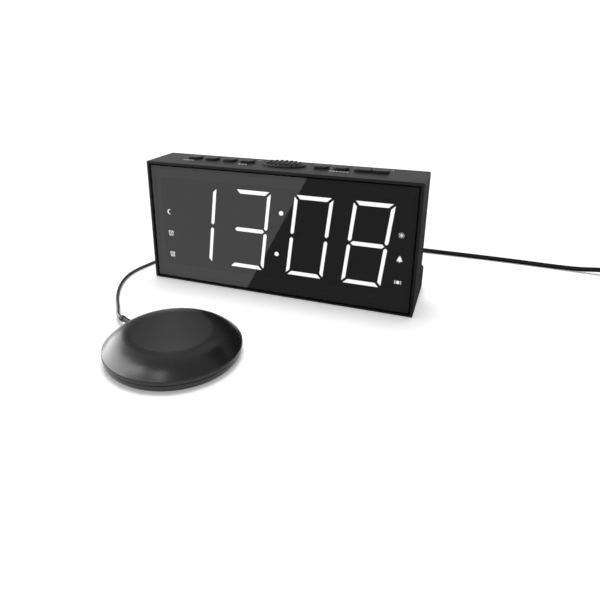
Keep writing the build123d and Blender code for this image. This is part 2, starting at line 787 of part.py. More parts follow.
# Rear cover with the foot
with BuildPart() as rear_cover:
    slab((-half_width, parting_y, case_floor), (half_width, body_rear_y, clock_height))
    fillet(rear_cover.edges().filter_by(Axis.Y), corner_radius)
    fillet(rear_cover.faces().sort_by(Axis.Y)[-1].edges(), bezel_edge)
    with BuildPart(mode=Mode.PRIVATE) as foot:
        slab((-half_width, parting_y, case_floor), (half_width, base_rear_y, foot_height))
        low_edges = foot.edges().filter_by(Axis.Y).group_by(Axis.Z)[0]
        fillet(low_edges, corner_radius)
        fillet(foot.edges().filter_by(Axis.Z).group_by(Axis.Y)[-1], corner_radius)
        fillet(foot.edges().filter_by(Axis.X).group_by(Axis.Y)[-1].group_by(Axis.Z)[-1], foot_round)
    add(foot.part)
    slab((-inner_half, parting_y, foot_height - 1.0), (inner_half, cover_inside_y, top_inside), Mode.SUBTRACT)
    slab((-inner_half, parting_y, floor_inside), (inner_half, foot_inside_y, foot_inside_top), Mode.SUBTRACT)
    slab((-inner_half, parting_y, floor_inside), (inner_half, cover_inside_y, foot_height), Mode.SUBTRACT)
    # Battery bay
    bay_back_y = base_rear_y - 0.5
    slab((-bay_half - bay_wall, bay_front_y - bay_wall, case_floor + 0.4),
         (bay_half + bay_wall, bay_back_y, foot_inside_top + 0.4))
    slab((-bay_half, bay_front_y, bay_low), (bay_half, base_rear_y, bay_high), Mode.SUBTRACT)
    rod((0, base_rear_y - notch_depth, bay_high), (0, base_rear_y, bay_high), notch_radius, Mode.SUBTRACT)
    # Screw pads
    for side in (-1, 1):
        for height in cover_boss_heights:
            boss_x = side * cover_boss_x
            rod((boss_x, parting_y, height), (boss_x, body_rear_y - 0.2, height), cover_pad_radius)
            rod((boss_x, body_rear_y - cover_head_sink, height), (boss_x, body_rear_y, height),
                cover_head + board_hole_clearance, Mode.SUBTRACT)
            rod((boss_x, parting_y, height), (boss_x, body_rear_y, height),
                cover_shank + board_hole_clearance, Mode.SUBTRACT)
    # Board posts
    for place in main_post_places:
        rod((place, main_board_back_y, socket_height), (place, cover_inside_y + 0.4, socket_height),
            main_post_radius)
        rod((place, main_board_back_y, socket_height), (place, cover_inside_y - 1.0, socket_height),
            screw_pilot, Mode.SUBTRACT)
    # Socket openings
    rod((power_jack_x, cover_inside_y, socket_height), (power_jack_x, body_rear_y, socket_height),
        power_nose_radius + socket_clearance, Mode.SUBTRACT)
    rod((shaker_jack_x, cover_inside_y, socket_height), (shaker_jack_x, body_rear_y, socket_height),
        shaker_nose_radius + socket_clearance, Mode.SUBTRACT)
    mouth_half_width = usb_half_width + usb_clearance
    mouth_half_height = usb_half_height + usb_clearance
    slab((usb_x - mouth_half_width, cover_inside_y, socket_height - mouth_half_height),
         (usb_x + mouth_half_width, body_rear_y, socket_height + mouth_half_height), Mode.SUBTRACT)
    # Speaker seat and grille
    rod((0, cover_inside_y - speaker_seat, speaker_height), (0, cover_inside_y + 0.4, speaker_height),
        speaker_radius + speaker_seat_wall)
    rod((0, cover_inside_y - speaker_seat, speaker_height), (0, cover_inside_y, speaker_height),
        speaker_radius + socket_clearance, Mode.SUBTRACT)
    for row in range(-4, 5):
        for column in range(-4, 5):
            hole_x = (column + (row % 2) / 2) * grille_pitch
            hole_z = row * grille_pitch * math.sqrt(3) / 2
            if math.hypot(hole_x, hole_z) <= grille_radius:
                rod((hole_x, cover_inside_y - 0.1, speaker_height + hole_z),
                    (hole_x, body_rear_y, speaker_height + hole_z), grille_hole, Mode.SUBTRACT)
    slab((-pad_half_width - pad_clearance, parting_y, case_floor),
         (pad_half_width + pad_clearance, pad_half_depth + pad_clearance, case_floor + pad_recess),
         Mode.SUBTRACT)
keep(rear_cover, "rear_cover")

# Base pad
with BuildPart() as base_pad:
    slab((-pad_half_width, -pad_half_depth, 0), (pad_half_width, pad_half_depth, pad_thickness))
    fillet(base_pad.edges().filter_by(Axis.Z), pad_clearance / 2)
keep(base_pad, "base_pad")

# Rear screws
with BuildPart() as rear_screws:
    head_y = body_rear_y - 0.4
    slot_y = head_y - 0.8
    for side in (-1, 1):
        for height in cover_boss_heights:
            boss_x = side * cover_boss_x
            rod((boss_x, body_rear_y - cover_head_sink, height), (boss_x, head_y, height), cover_head)
            rod((boss_x, parting_y - 11.5, height), (boss_x, slot_y - 0.4, height), cover_shank)
            slab((boss_x - screw_slot_half, slot_y, height - screw_slot_width / 2),
                 (boss_x + screw_slot_half, head_y, height + screw_slot_width / 2), Mode.SUBTRACT)
            slab((boss_x - screw_slot_width / 2, slot_y, height - screw_slot_half),
                 (boss_x + screw_slot_width / 2, head_y, height + screw_slot_half), Mode.SUBTRACT)
keep(rear_screws, "rear_screws")

# Board screws for the display, key and main boards
with BuildPart() as board_screws:
    for side in (-1, 1):
        for height in display_post_heights:
            rod((side * display_post_x, board_back_y, height),
                (side * display_post_x, board_back_y + screw_head_height, height), screw_head)
            rod((side * display_post_x, board_front_y - 4.0, height),
                (side * display_post_x, board_back_y + 0.2, height), screw_shank)
    for place in key_post_places:
        rod((place, key_post_y, key_board_low - screw_head_height), (place, key_post_y, key_board_low),
            min(screw_head, key_post_radius))
        rod((place, key_post_y, key_board_low - 0.2), (place, key_post_y, key_board_top + 3.6), screw_shank)
    for place in main_post_places:
        rod((place, main_board_front_y - screw_head_height, socket_height),
            (place, main_board_front_y, socket_height), screw_head)
        rod((place, main_board_front_y - 0.2, socket_height),
            (place, main_board_back_y + 5.0, socket_height), screw_shank)
keep(board_screws, "board_screws")

# Main board with its chip, header and ribbon
with BuildPart() as main_board:
    slab((-main_board_half, main_board_front_y, main_board_low),
         (main_board_half, main_board_back_y, main_board_high))
    for place in main_post_places:
        rod((place, main_board_front_y, socket_height), (place, main_board_back_y, socket_height),
            board_hole, Mode.SUBTRACT)
keep(main_board, "main_board")

with BuildPart() as controller_chip:
    slab((-chip_side, main_board_back_y, socket_height - chip_side / 2),
         (0, main_board_back_y + chip_height, socket_height + chip_side / 2))
    chamfer(controller_chip.faces().sort_by(Axis.Y)[-1].edges(), 0.3)
keep(controller_chip, "controller_chip")

with BuildPart() as board_header:
    header_low = main_board_low + 2.0
    slab((-header_half, board_back_y, header_low),
         (header_half, main_board_front_y, header_low + header_height))
keep(board_header, "board_header")

with BuildPart() as key_ribbon:
    slab((ribbon_x, main_board_front_y - ribbon_thickness, main_board_high - 5.0),
         (ribbon_x + ribbon_width, main_board_front_y, key_board_low))
keep(key_ribbon, "key_ribbon")


def round_jack(place, body_half, nose_radius, bore_radius, bore_depth, name):
    """Makes a socket with a round nose that comes through the rear cover, and its bore."""
    with BuildPart() as jack:
        slab((place - body_half, main_board_back_y, socket_height - nose_radius - 0.8),
             (place + body_half, jack_back_y, socket_height + nose_radius + 0.8))
        rod((place, jack_back_y - 0.2, socket_height), (place, socket_face_y, socket_height), nose_radius)
        rod((place, socket_face_y - bore_depth, socket_height), (place, socket_face_y, socket_height),
            bore_radius, Mode.SUBTRACT)
    keep(jack, name)


# Power and shaker jacks
round_jack(power_jack_x, power_body_half, power_nose_radius, power_bore_radius, power_bore_depth, "dc_jack")
round_jack(shaker_jack_x, shaker_body_half, shaker_nose_radius, shaker_bore_radius, shaker_bore_depth,
           "shaker_jack")

# USB socket and tongue
usb_back_y = main_board_back_y + usb_stop
inner_half_width = usb_half_width - usb_wall
inner_half_height = usb_half_height - usb_wall
with BuildPart() as usb_socket:
    slab((usb_x - usb_half_width, main_board_back_y, socket_height - usb_half_height),
         (usb_x + usb_half_width, socket_face_y, socket_height + usb_half_height))
    slab((usb_x - inner_half_width, usb_back_y, socket_height - inner_half_height),
         (usb_x + inner_half_width, socket_face_y, socket_height + inner_half_height), Mode.SUBTRACT)
keep(usb_socket, "usb_socket")

with BuildPart() as usb_tongue:
    slab((usb_x - tongue_half_width, usb_back_y, socket_height + 0.2),
         (usb_x + tongue_half_width, socket_face_y - tongue_setback, socket_height + 0.2 + tongue_thickness))
keep(usb_tongue, "usb_tongue")

# Speaker
with BuildPart() as speaker_basket:
    with BuildSketch(Plane(origin=(0, cover_inside_y, speaker_height), x_dir=(1, 0, 0), z_dir=(0, 0, 1))):
        with BuildLine():
            Polyline((0, -speaker_depth), (magnet_radius, -speaker_depth), (magnet_radius, -6.4),
                     (speaker_radius - 1.6, -1.6), (speaker_radius, -1.6), (speaker_radius, 0),
                     (speaker_radius - 2.6, 0), (speaker_radius - 2.6, -1.6), (magnet_radius - 1.1, -5.6),
                     (0, -5.6), close=True)
        make_face()
    revolve(axis=Axis((0, cover_inside_y, speaker_height), (0, 1, 0)))
keep(speaker_basket, "speaker_basket")

with BuildPart() as speaker_cone:
    with BuildSketch(Plane(origin=(0, cover_inside_y, speaker_height), x_dir=(1, 0, 0), z_dir=(0, 0, 1))):
        with BuildLine():
            Polyline((0, -3.2), (4.6, -4.0), (speaker_radius - 4.0, -1.2), (speaker_radius - 2.6, -1.2),
                     (speaker_radius - 2.6, -0.7), (speaker_radius - 4.2, -0.7), (4.6, -3.4), (0, -2.6),
                     close=True)
        make_face()
    revolve(axis=Axis((0, cover_inside_y, speaker_height), (0, 1, 0)))
keep(speaker_cone, "speaker_cone")

# Battery cells, contacts and door
cell_y = bay_front_y + cell_radius + bay_depth_room / 2
cell_z = (bay_low + bay_high) / 2
with BuildPart() as battery_cells:
    for start in (-cell_length, 0.0):
        shoulder_x = start + cell_length - cell_button
        rod((start + 0.02, cell_y, cell_z), (shoulder_x, cell_y, cell_z), cell_radius)
        rod((shoulder_x - 0.2, cell_y, cell_z), (start + cell_length, cell_y, cell_z), cell_button_radius)
keep(battery_cells, "battery_cells")


def spring_spot(step):
    """Gives a point of the tapered contact spring, after a number of quarter turns from the contact plate."""
    size = spring_wide + (spring_narrow - spring_wide) * step / spring_steps
    turn = math.radians(90 * step)
    reach = spring_start + (spring_end - spring_start) * step / spring_steps
    return Vector(reach, cell_y + size * math.cos(turn), cell_z + size * math.sin(turn))


spring_start = -bay_half + contact_thickness + spring_wire * 0.3
spring_end = -cell_length - spring_wire
with BuildPart() as battery_contacts:
    for plate_x in (-bay_half, bay_half - contact_thickness):
        slab((plate_x, cell_y - contact_half, cell_z - contact_half),
             (plate_x + contact_thickness, cell_y + contact_half, cell_z + contact_half))
    rod((cell_length, cell_y, cell_z), (bay_half - contact_thickness + 0.1, cell_y, cell_z), 2.4)
    with BuildLine() as spring_route:
        for step in range(spring_steps):
            ThreePointArc(spring_spot(step), spring_spot(step + 0.5), spring_spot(step + 1))
    along(spring_route.wire(), spring_wire)
keep(battery_contacts, "battery_contacts")

with BuildPart() as battery_door:
    door_half = bay_half - door_clearance
    slab((-door_half, base_rear_y - door_thickness, door_axis_z),
         (door_half, base_rear_y, bay_high - door_clearance))
    rod((-door_half, door_axis_y, door_axis_z), (door_half, door_axis_y, door_axis_z), door_thickness / 2)
    for index in range(3):
        groove_z = bay_high - 3.4 - door_groove_pitch * index
        slab((-door_groove_half, base_rear_y - 0.5, groove_z),
             (door_groove_half, base_rear_y, groove_z + 0.6), Mode.SUBTRACT)
keep(battery_door, "battery_door")

# Shaker shells
shaker_plane = Plane(origin=(shaker_x, shaker_y, 0), x_dir=(1, 0, 0), z_dir=(0, -1, 0))
shaker_axis = Axis((shaker_x, shaker_y, 0), (0, 0, 1))
relief_way = Vector(math.cos(math.radians(relief_bearing)), math.sin(math.radians(relief_bearing)), 0)
shaker_middle = Vector(shaker_x, shaker_y, 0)


def from_shaker(distance, height):
    """Gives a point on the cord's bearing from the middle of the puck."""
    return shaker_middle + relief_way * distance + Vector(0, 0, height)


screw_spots = [(shaker_x + shaker_screw_radius * math.cos(math.radians(turn)),
                shaker_y + shaker_screw_radius * math.sin(math.radians(turn))) for turn in shaker_screw_turns]
lower_radius = shaker_radius - lower_inset
lip_top = shaker_parting + lip_height
lip_outer = lower_radius - lip_inset
lip_inner = lip_outer - lip_thickness
base_top = shaker_parting - parting_groove / 2
roof_low = shaker_parting + parting_groove / 2
with BuildPart() as shaker_bottom_shell:
    with BuildSketch(shaker_plane):
        with BuildLine():
            Line((0, shaker_stand), (lower_radius - lower_round, shaker_stand))
            ThreePointArc((lower_radius - lower_round, shaker_stand),
                          (lower_radius - lower_bulge_inset, shaker_stand + lower_bulge_height),
                          (lower_radius, base_top))
            Polyline((lower_radius, base_top), (lip_outer, base_top), (lip_outer, lip_top),
                     (lip_inner, lip_top), (lip_inner, shell_floor), (0, shell_floor), (0, shaker_stand))
        make_face()
    revolve(axis=shaker_axis)
    # Groove of the foot ring
    with BuildSketch(Plane(origin=(shaker_x, shaker_y, shaker_stand))):
        Circle(ring_outer)
        Circle(ring_inner, mode=Mode.SUBTRACT)
    extrude(amount=ring_depth, mode=Mode.SUBTRACT)
    # Cradle of the motor
    for cradle_x in (motor_back_x + 1.5, motor_front_x - 3.5):
        slab((cradle_x, shaker_y - motor_radius - 1.2, shell_floor - 0.2),
             (cradle_x + cradle_thickness, shaker_y + motor_radius + 1.2, motor_axis_height - 0.5))
    rod((motor_back_x, shaker_y, motor_axis_height), (motor_front_x, shaker_y, motor_axis_height),
        motor_radius + 0.02, Mode.SUBTRACT)
    slab((motor_back_x, shaker_y - motor_radius / 2, shell_floor - 0.2),
         (motor_front_x, shaker_y + motor_radius / 2, motor_axis_height - motor_flat))
    for x, y in screw_spots:
        rod((x, y, shaker_stand), (x, y, shell_floor), board_hole, Mode.SUBTRACT)
        rod((x, y, shaker_stand), (x, y, shaker_stand + screw_head_height), screw_head + board_hole_clearance,
            Mode.SUBTRACT)
    rod(from_shaker(lip_inner - 2.0, shaker_parting), from_shaker(shaker_radius + 3, shaker_parting),
        relief_radius + pin_clearance, Mode.SUBTRACT)
keep(shaker_bottom_shell, "shaker_bottom_shell")

seat_radius = lip_outer + lip_clearance
inner_rim = lip_inner - lip_clearance
centre_low = shaker_centre_height - shaker_wall
rim_way = Vector(-math.cos(math.radians(rim_slope)), math.sin(math.radians(rim_slope)))
dish_way = Vector(-math.cos(math.radians(dish_slope)), -math.sin(math.radians(dish_slope)))
with BuildPart() as shaker_top_shell:
    with BuildSketch(shaker_plane):
        with BuildLine():
            Polyline((seat_radius, roof_low), (shaker_radius, roof_low), (shaker_radius, shaker_rim_height))
            Spline((shaker_radius, shaker_rim_height), (crest_radius, shaker_crest), tangents=(rim_way, (-1, 0)))
            Spline((crest_radius, shaker_crest), (crest_flat, shaker_centre_height),
                   tangents=(dish_way, (-1, 0)))
            Polyline((crest_flat, shaker_centre_height), (0, shaker_centre_height), (0, centre_low),
                     (crest_radius, shaker_crest - shaker_wall))
            Spline((crest_radius, shaker_crest - shaker_wall), (inner_rim, shaker_rim_height),
                   tangents=((1, 0), -rim_way))
            Polyline((inner_rim, shaker_rim_height), (inner_rim, lip_top), (seat_radius, lip_top),
                     (seat_radius, roof_low))
        make_face()
    revolve(axis=shaker_axis)
    fillet(shaker_top_shell.edges().filter_by(GeomType.CIRCLE).group_by(SortBy.RADIUS)[-1].sort_by(Axis.Z)[-1],
           rim_round)
    for x, y in screw_spots:
        rod((x, y, shell_floor), (x, y, centre_low + 1.1), shaker_boss_radius)
    for x, y in screw_spots:
        rod((x, y, shell_floor), (x, y, shell_floor + 7.0), screw_pilot, Mode.SUBTRACT)
    rod(from_shaker(lip_inner - 2.0, shaker_parting), from_shaker(shaker_radius + 3, shaker_parting),
        relief_radius + pin_clearance, Mode.SUBTRACT)
keep(shaker_top_shell, "shaker_top_shell")

with BuildPart() as shaker_foot_ring:
    with BuildSketch(Plane(origin=(shaker_x, shaker_y, 0))):
        Circle(ring_outer - ring_clearance)
        Circle(ring_inner + ring_clearance, mode=Mode.SUBTRACT)
    extrude(amount=shaker_stand + ring_depth)
keep(shaker_foot_ring, "shaker_foot_ring")

with BuildPart() as shaker_screws:
    for x, y in screw_spots:
        rod((x, y, shaker_stand + 0.1), (x, y, shaker_stand + screw_head_height), screw_head)
        rod((x, y, shaker_stand + screw_head_height - 0.2), (x, y, shell_floor + 6.0), screw_shank)
        slab((x - screw_slot_half, y - screw_slot_width / 2, shaker_stand + 0.1),
             (x + screw_slot_half, y + screw_slot_width / 2, shaker_stand + 0.7), Mode.SUBTRACT)
keep(shaker_screws, "shaker_screws")

# Motor, shaft and eccentric weight
with BuildPart() as shaker_motor:
    rod((motor_back_x, shaker_y, motor_axis_height), (motor_front_x, shaker_y, motor_axis_height),
        motor_radius)
    for side in (-1, 1):
        flat = sorted((motor_axis_height + side * motor_flat, motor_axis_height + side * (motor_radius + 1)))
        slab((motor_back_x - 1, shaker_y - motor_radius - 1, flat[0]),
             (motor_front_x + 1, shaker_y + motor_radius + 1, flat[1]), Mode.SUBTRACT)
    rod((motor_front_x - 0.2, shaker_y, motor_axis_height),
        (motor_front_x + motor_nose, shaker_y, motor_axis_height), motor_nose_radius)
    rod((motor_back_x + 3.0, shaker_y, motor_axis_height),
        (motor_front_x + motor_nose + 1.0, shaker_y, motor_axis_height), shaft_radius + shaft_clearance,
        Mode.SUBTRACT)
keep(shaker_motor, "shaker_motor")

weight_start_x = motor_front_x + motor_nose + 0.6
weight_end_x = weight_start_x + weight_length
with BuildPart() as motor_shaft:
    rod((motor_back_x + 3.2, shaker_y, motor_axis_height), (weight_end_x + 0.4, shaker_y, motor_axis_height),
        shaft_radius)
keep(motor_shaft, "motor_shaft")

with BuildPart() as eccentric_weight:
    rod((weight_start_x, shaker_y, motor_axis_height), (weight_end_x, shaker_y, motor_axis_height),
        weight_radius)
    slab((weight_start_x - 1, shaker_y - weight_radius - 1, motor_axis_height + 0.3),
         (weight_end_x + 1, shaker_y + weight_radius + 1, motor_axis_height + weight_radius + 1),
         Mode.SUBTRACT)
    rod((weight_start_x, shaker_y, motor_axis_height), (weight_end_x, shaker_y, motor_axis_height),
        weight_hub_radius)
    rod((weight_start_x - 1, shaker_y, motor_axis_height), (weight_end_x + 1, shaker_y, motor_axis_height),
        shaft_radius, Mode.SUBTRACT)
keep(eccentric_weight, "eccentric_weight")

strap_half = motor_radius + shaft_clearance
strap_x = motor_x - strap_width / 2
strap_end_x = strap_x + strap_width
with BuildPart() as motor_strap:
    slab((strap_x, shaker_y - strap_half - strap_thickness, shell_floor),
         (strap_end_x, shaker_y + strap_half + strap_thickness, strap_top + strap_thickness))
    slab((strap_x - 1, shaker_y - strap_half, shell_floor - 1),
         (strap_end_x + 1, shaker_y + strap_half, strap_top), Mode.SUBTRACT)
    for side in (-1, 1):
        reach = sorted((side * (strap_half + 0.1), side * (strap_half + strap_ear)))
        slab((strap_x, shaker_y + reach[0], shell_floor),
             (strap_end_x, shaker_y + reach[1], shell_floor + strap_thickness))
keep(motor_strap, "motor_strap")

# Cord relief and motor wires
with BuildPart() as shaker_relief:
    rod(from_shaker(lip_inner - 1.6, shaker_parting), from_shaker(relief_reach, shaker_parting),
        relief_radius)
    rod(from_shaker(relief_reach - relief_knob_length, shaker_parting),
        from_shaker(relief_reach, shaker_parting), relief_knob_radius)
    fillet(shaker_relief.edges().filter_by(GeomType.CIRCLE).group_by(SortBy.RADIUS)[-1], relief_knob_edge)
    rod(from_shaker(lip_inner - 2.6, shaker_parting), from_shaker(lip_inner - 1.4, shaker_parting),
        relief_radius + 0.2)
keep(shaker_relief, "shaker_relief")

with BuildPart() as motor_wires:
    wire_end = from_shaker(lip_inner - 2.6 - wire_gap, shaker_parting)
    across = Vector(-relief_way.Y, relief_way.X, 0)
    for side in (-1, 1):
        rod((motor_back_x - wire_gap, shaker_y - side * 1.4, motor_axis_height - 0.4),
            wire_end + across * side * 0.9, wire_radius)
keep(motor_wires, "motor_wires")


def cord_plug(place, radius, diameter, pin_radius, name):
    """Makes a round plug body with its strain relief, turned about its own axis."""
    with BuildPart() as plug:
        with BuildSketch(Plane(origin=(place, plug_face_y, socket_height), x_dir=(1, 0, 0), z_dir=(0, 0, 1))):
            with BuildLine():
                Polyline((0, 0), (radius - plug_edge, 0), (radius, plug_edge), (radius, plug_length * 0.7),
                         (radius * 0.7, plug_length), (diameter * 0.82, plug_length),
                         (diameter * 0.64, plug_length + plug_relief_length),
                         (0, plug_length + plug_relief_length), (0, 0))
            make_face()
        revolve(axis=Axis((place, plug_face_y, socket_height), (0, 1, 0)))
        rod((place, plug_face_y, socket_height), (place, plug_face_y + plug_pin_seat, socket_height),
            pin_radius, Mode.SUBTRACT)
    keep(plug, name)


# Shaker plug
shaker_pin_radius = shaker_bore_radius - pin_clearance
pin_end_y = plug_face_y + plug_pin_seat
cord_plug(shaker_jack_x, shaker_plug_radius, shaker_cord_diameter, shaker_pin_radius, "shaker_plug")
with BuildPart() as shaker_plug_pin:
    pin_tip_y = socket_face_y - shaker_bore_depth + pin_end_room
    rod((shaker_jack_x, pin_tip_y, socket_height), (shaker_jack_x, pin_end_y, socket_height),
        shaker_pin_radius)
    chamfer(shaker_plug_pin.faces().sort_by(Axis.Y)[0].edges(), 0.8)
keep(shaker_plug_pin, "shaker_plug_pin")

# Power plug
power_pin_radius = power_bore_radius - pin_clearance
cord_plug(power_jack_x, power_plug_radius, power_cord_diameter, power_pin_radius, "power_plug")
with BuildPart() as power_plug_sleeve:
    sleeve_tip_y = socket_face_y - power_bore_depth + pin_end_room
    rod((power_jack_x, sleeve_tip_y, socket_height), (power_jack_x, pin_end_y, socket_height),
        power_pin_radius)
    rod((power_jack_x, sleeve_tip_y, socket_height), (power_jack_x, plug_face_y - 0.5, socket_height),
        sleeve_bore, Mode.SUBTRACT)
keep(power_plug_sleeve, "power_plug_sleeve")

# Shaker cord coil
cord_radius = shaker_cord_diameter / 2
pitch = shaker_cord_diameter + loop_gap
coil_low = tie_thickness + tie_gap + cord_radius
coil_top = coil_low + 3 * pitch
shaker_coil_start = Vector(shaker_jack_x, shaker_coil_y, coil_top)
shaker_arcs, coil_spot, coil_way = loops(shaker_coil_start, (0, 1, 0), -1, shaker_loop_radius,
                                         shaker_half_turns, pitch)
shaker_lead_end = shaker_coil_start - Vector(0, shaker_cord_diameter, 0)
shaker_free_start = coil_spot + coil_way * shaker_cord_diameter
shaker_coil_route = coil_route(shaker_arcs, (shaker_lead_end, shaker_coil_start),
                               (coil_spot, shaker_free_start))
own_gap("shaker_cord_coil", shaker_coil_route, shaker_cord_diameter)
with BuildPart() as shaker_cord_coil:
    coil_length = along(shaker_coil_route, cord_radius)
keep(shaker_cord_coil, "shaker_cord_coil")
print("shaker_cord_coil volume share",
      round(shaker_cord_coil.part.volume / (math.pi * cord_radius ** 2 * coil_length), 4))

# Shaker cord, from the plug to the coil and from the coil to the puck
lead_points = [
    (shaker_jack_x, plug_end_y, socket_height), (shaker_jack_x, plug_end_y + 12.5, socket_height),
    (shaker_jack_x, shaker_lead_end.Y - 18.1, coil_top), shaker_lead_end,
]
floor_z = cord_radius
relief_end = from_shaker(relief_reach, shaker_parting)
free_points = [
    shaker_free_start, shaker_free_start - Vector(17, 0, 0), (10.5 - half_width, 57.5, floor_z),
    (-7.7 - half_width, 25.2, floor_z), (-14.9 - half_width, -3.4, floor_z),
    (-20.7 - half_width, -27.6, floor_z), (-15.4 - half_width, -48.5, floor_z),
    (-3.9 - half_width, -68.6, floor_z), relief_end + Vector(-14.23, 15.61, floor_z + 0.7 - shaker_parting),
    relief_end + relief_way * 4.0, relief_end,
]
lead_route = cord_route("shaker lead", lead_points, shaker_cord_diameter)
free_route = cord_route("shaker cord", free_points, shaker_cord_diameter)
with BuildPart() as shaker_cord:
    run_length = along(lead_route, cord_radius)
    run_length += along(free_route, cord_radius)
keep(shaker_cord, "shaker_cord")
print("shaker_cord volume share",
      round(shaker_cord.part.volume / (math.pi * cord_radius ** 2 * run_length), 4))
print("shaker cord length", round(run_length + coil_length))

# Power cord coil
power_radius = power_cord_diameter / 2
power_pitch = power_cord_diameter + loop_gap
power_low = tie_thickness + tie_gap + power_radius
power_top = power_low + 3 * power_pitch
trial_end = loops((0, power_coil_y, power_top), (-1, 0, 0), -1, power_loop_radius, power_half_turns,
                  power_pitch)[1]
power_coil_start = Vector(power_jack_x - trial_end.X, power_coil_y, power_top)
power_arcs, power_spot, power_way = loops(power_coil_start, (-1, 0, 0), -1, power_loop_radius,
                                          power_half_turns, power_pitch)
power_free_start = power_coil_start + Vector(power_cord_diameter, 0, 0)
power_lead_end = power_spot + power_way * power_cord_diameter
power_coil_route = coil_route(power_arcs, (power_free_start, power_coil_start),
                              (power_spot, power_lead_end))
own_gap("power_cord_coil", power_coil_route, power_cord_diameter)
with BuildPart() as power_cord_coil:
    power_coil_length = along(power_coil_route, power_radius)
keep(power_cord_coil, "power_cord_coil")
print("power_cord_coil volume share",
      round(power_cord_coil.part.volume / (math.pi * power_radius ** 2 * power_coil_length), 4))

# Power cord, from the plug to the coil and from the coil to the adapter
power_lead_points = [
    (power_jack_x, plug_end_y, socket_height), (power_jack_x, plug_end_y + 20.0, socket_height),
    (power_jack_x, plug_end_y + 43.0, power_radius + 0.3),
    (power_jack_x, power_lead_end.Y - 19.0, power_lead_end.Z), power_lead_end,
]
adapter_end = Vector(adapter_end_x, adapter_end_y, adapter_relief_height)
adapter_approach = Vector(adapter_end_x - 13.0, adapter_end_y + 2.2, adapter_relief_height)
power_free_points = [
    power_free_start, power_free_start + Vector(15, 0, 0), (48, power_coil_y, power_radius),
    (79, power_coil_y, power_radius), (112, 97.4, power_radius), (158, 97.6, power_radius),
    (203, 95.6, power_radius), adapter_approach, adapter_end,
]
power_lead_route = cord_route("power lead", power_lead_points, power_cord_diameter)
power_free_route = cord_route("power cord", power_free_points, power_cord_diameter)
with BuildPart() as power_cord:
    power_run_length = along(power_lead_route, power_radius)
    power_run_length += along(power_free_route, power_radius)
keep(power_cord, "power_cord")
print("power_cord volume share",
      round(power_cord.part.volume / (math.pi * power_radius ** 2 * power_run_length), 4))
print("power cord length", round(power_run_length + power_coil_length))


def tie_band(route, diameter, low_z, high_z):
    """Adds a band round a coil's bundle of turns, on the side of the coil away from the clock."""
    count = int(route.length / 1.0)
    spots = [route @ (index / count) for index in range(count + 1)]
    middle_x = (min(spot.X for spot in spots) + max(spot.X for spot in spots)) / 2
    middle_y = (min(spot.Y for spot in spots) + max(spot.Y for spot in spots)) / 2
    near = [spot.Y for spot in spots if abs(spot.X - middle_x) < tie_width / 2 + 1.5 and spot.Y > middle_y]
    reach = diameter / 2 + tie_gap
    inner = (min(near) - reach, max(near) + reach)
    slab((middle_x - tie_width / 2, inner[0] - tie_thickness, low_z - reach - tie_thickness),
         (middle_x + tie_width / 2, inner[1] + tie_thickness, high_z + reach + tie_thickness))
    slab((middle_x - tie_width / 2, inner[0], low_z - reach),
         (middle_x + tie_width / 2, inner[1], high_z + reach), Mode.SUBTRACT)


# Ties of the two coils
with BuildPart() as cord_ties:
    tie_band(shaker_coil_route, shaker_cord_diameter, coil_low, coil_top)
    tie_band(power_coil_route, power_cord_diameter, power_low, power_top)
keep(cord_ties, "cord_ties")

# Mains adapter
adapter_way = (adapter_end - adapter_approach).normalized()
adapter_plane = Plane(origin=adapter_end, x_dir=adapter_way, z_dir=(0, 0, 1))
at_adapter = adapter_plane.from_local_coords
adapter_floor = -adapter_relief_height
adapter_top = adapter_height - adapter_relief_height
with BuildPart(adapter_plane) as adapter_case:
    slab((adapter_relief_length, -adapter_width / 2, adapter_floor),
         (adapter_relief_length + adapter_length, adapter_width / 2, adapter_top))
    fillet(adapter_case.edges().filter_by(Axis.Z), adapter_round)
    fillet(adapter_case.faces().sort_by(Axis.Z)[-1].edges(), adapter_round / 2)
    fillet(adapter_case.faces().sort_by(Axis.Z)[0].edges(), adapter_round / 3)
keep(adapter_case, "adapter_case")

with BuildPart() as adapter_relief:
    relief_steps = (0.0, adapter_relief_length / 2, adapter_relief_length * 0.78, adapter_relief_length)
    for near, far, radius in zip(relief_steps, relief_steps[1:], adapter_relief_radii):
        rod(at_adapter(Vector(near, 0, 0)), at_adapter(Vector(far, 0, 0)), radius)
keep(adapter_relief, "adapter_relief")

blade_x = adapter_relief_length + adapter_length * blade_share
with BuildPart(adapter_plane) as adapter_blades:
    for side in (-1, 1):
        blade_y = side * blade_spacing / 2
        slab((blade_x - blade_width / 2, blade_y - blade_thickness / 2, adapter_top),
             (blade_x + blade_width / 2, blade_y + blade_thickness / 2, adapter_top + blade_length))
        hole_z = adapter_top + blade_length - blade_hole_margin
        rod(at_adapter(Vector(blade_x, blade_y - blade_thickness, hole_z)),
            at_adapter(Vector(blade_x, blade_y + blade_thickness, hole_z)), blade_hole_radius, Mode.SUBTRACT)
keep(adapter_blades, "adapter_blades")
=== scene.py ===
"""Looks of a bed shaker alarm clock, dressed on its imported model.

Sizes are in metres unless a name or a docstring says millimetres. The frame is the model's own: the origin
on the floor under the clock, +X to the viewer's right, -Y to the front.
"""

from __future__ import annotations

import logging
import math
from dataclasses import dataclass, field, replace
from enum import Enum
from typing import Callable, Iterable, Sequence, Union

import bmesh
import bpy
from mathutils import Matrix, Vector

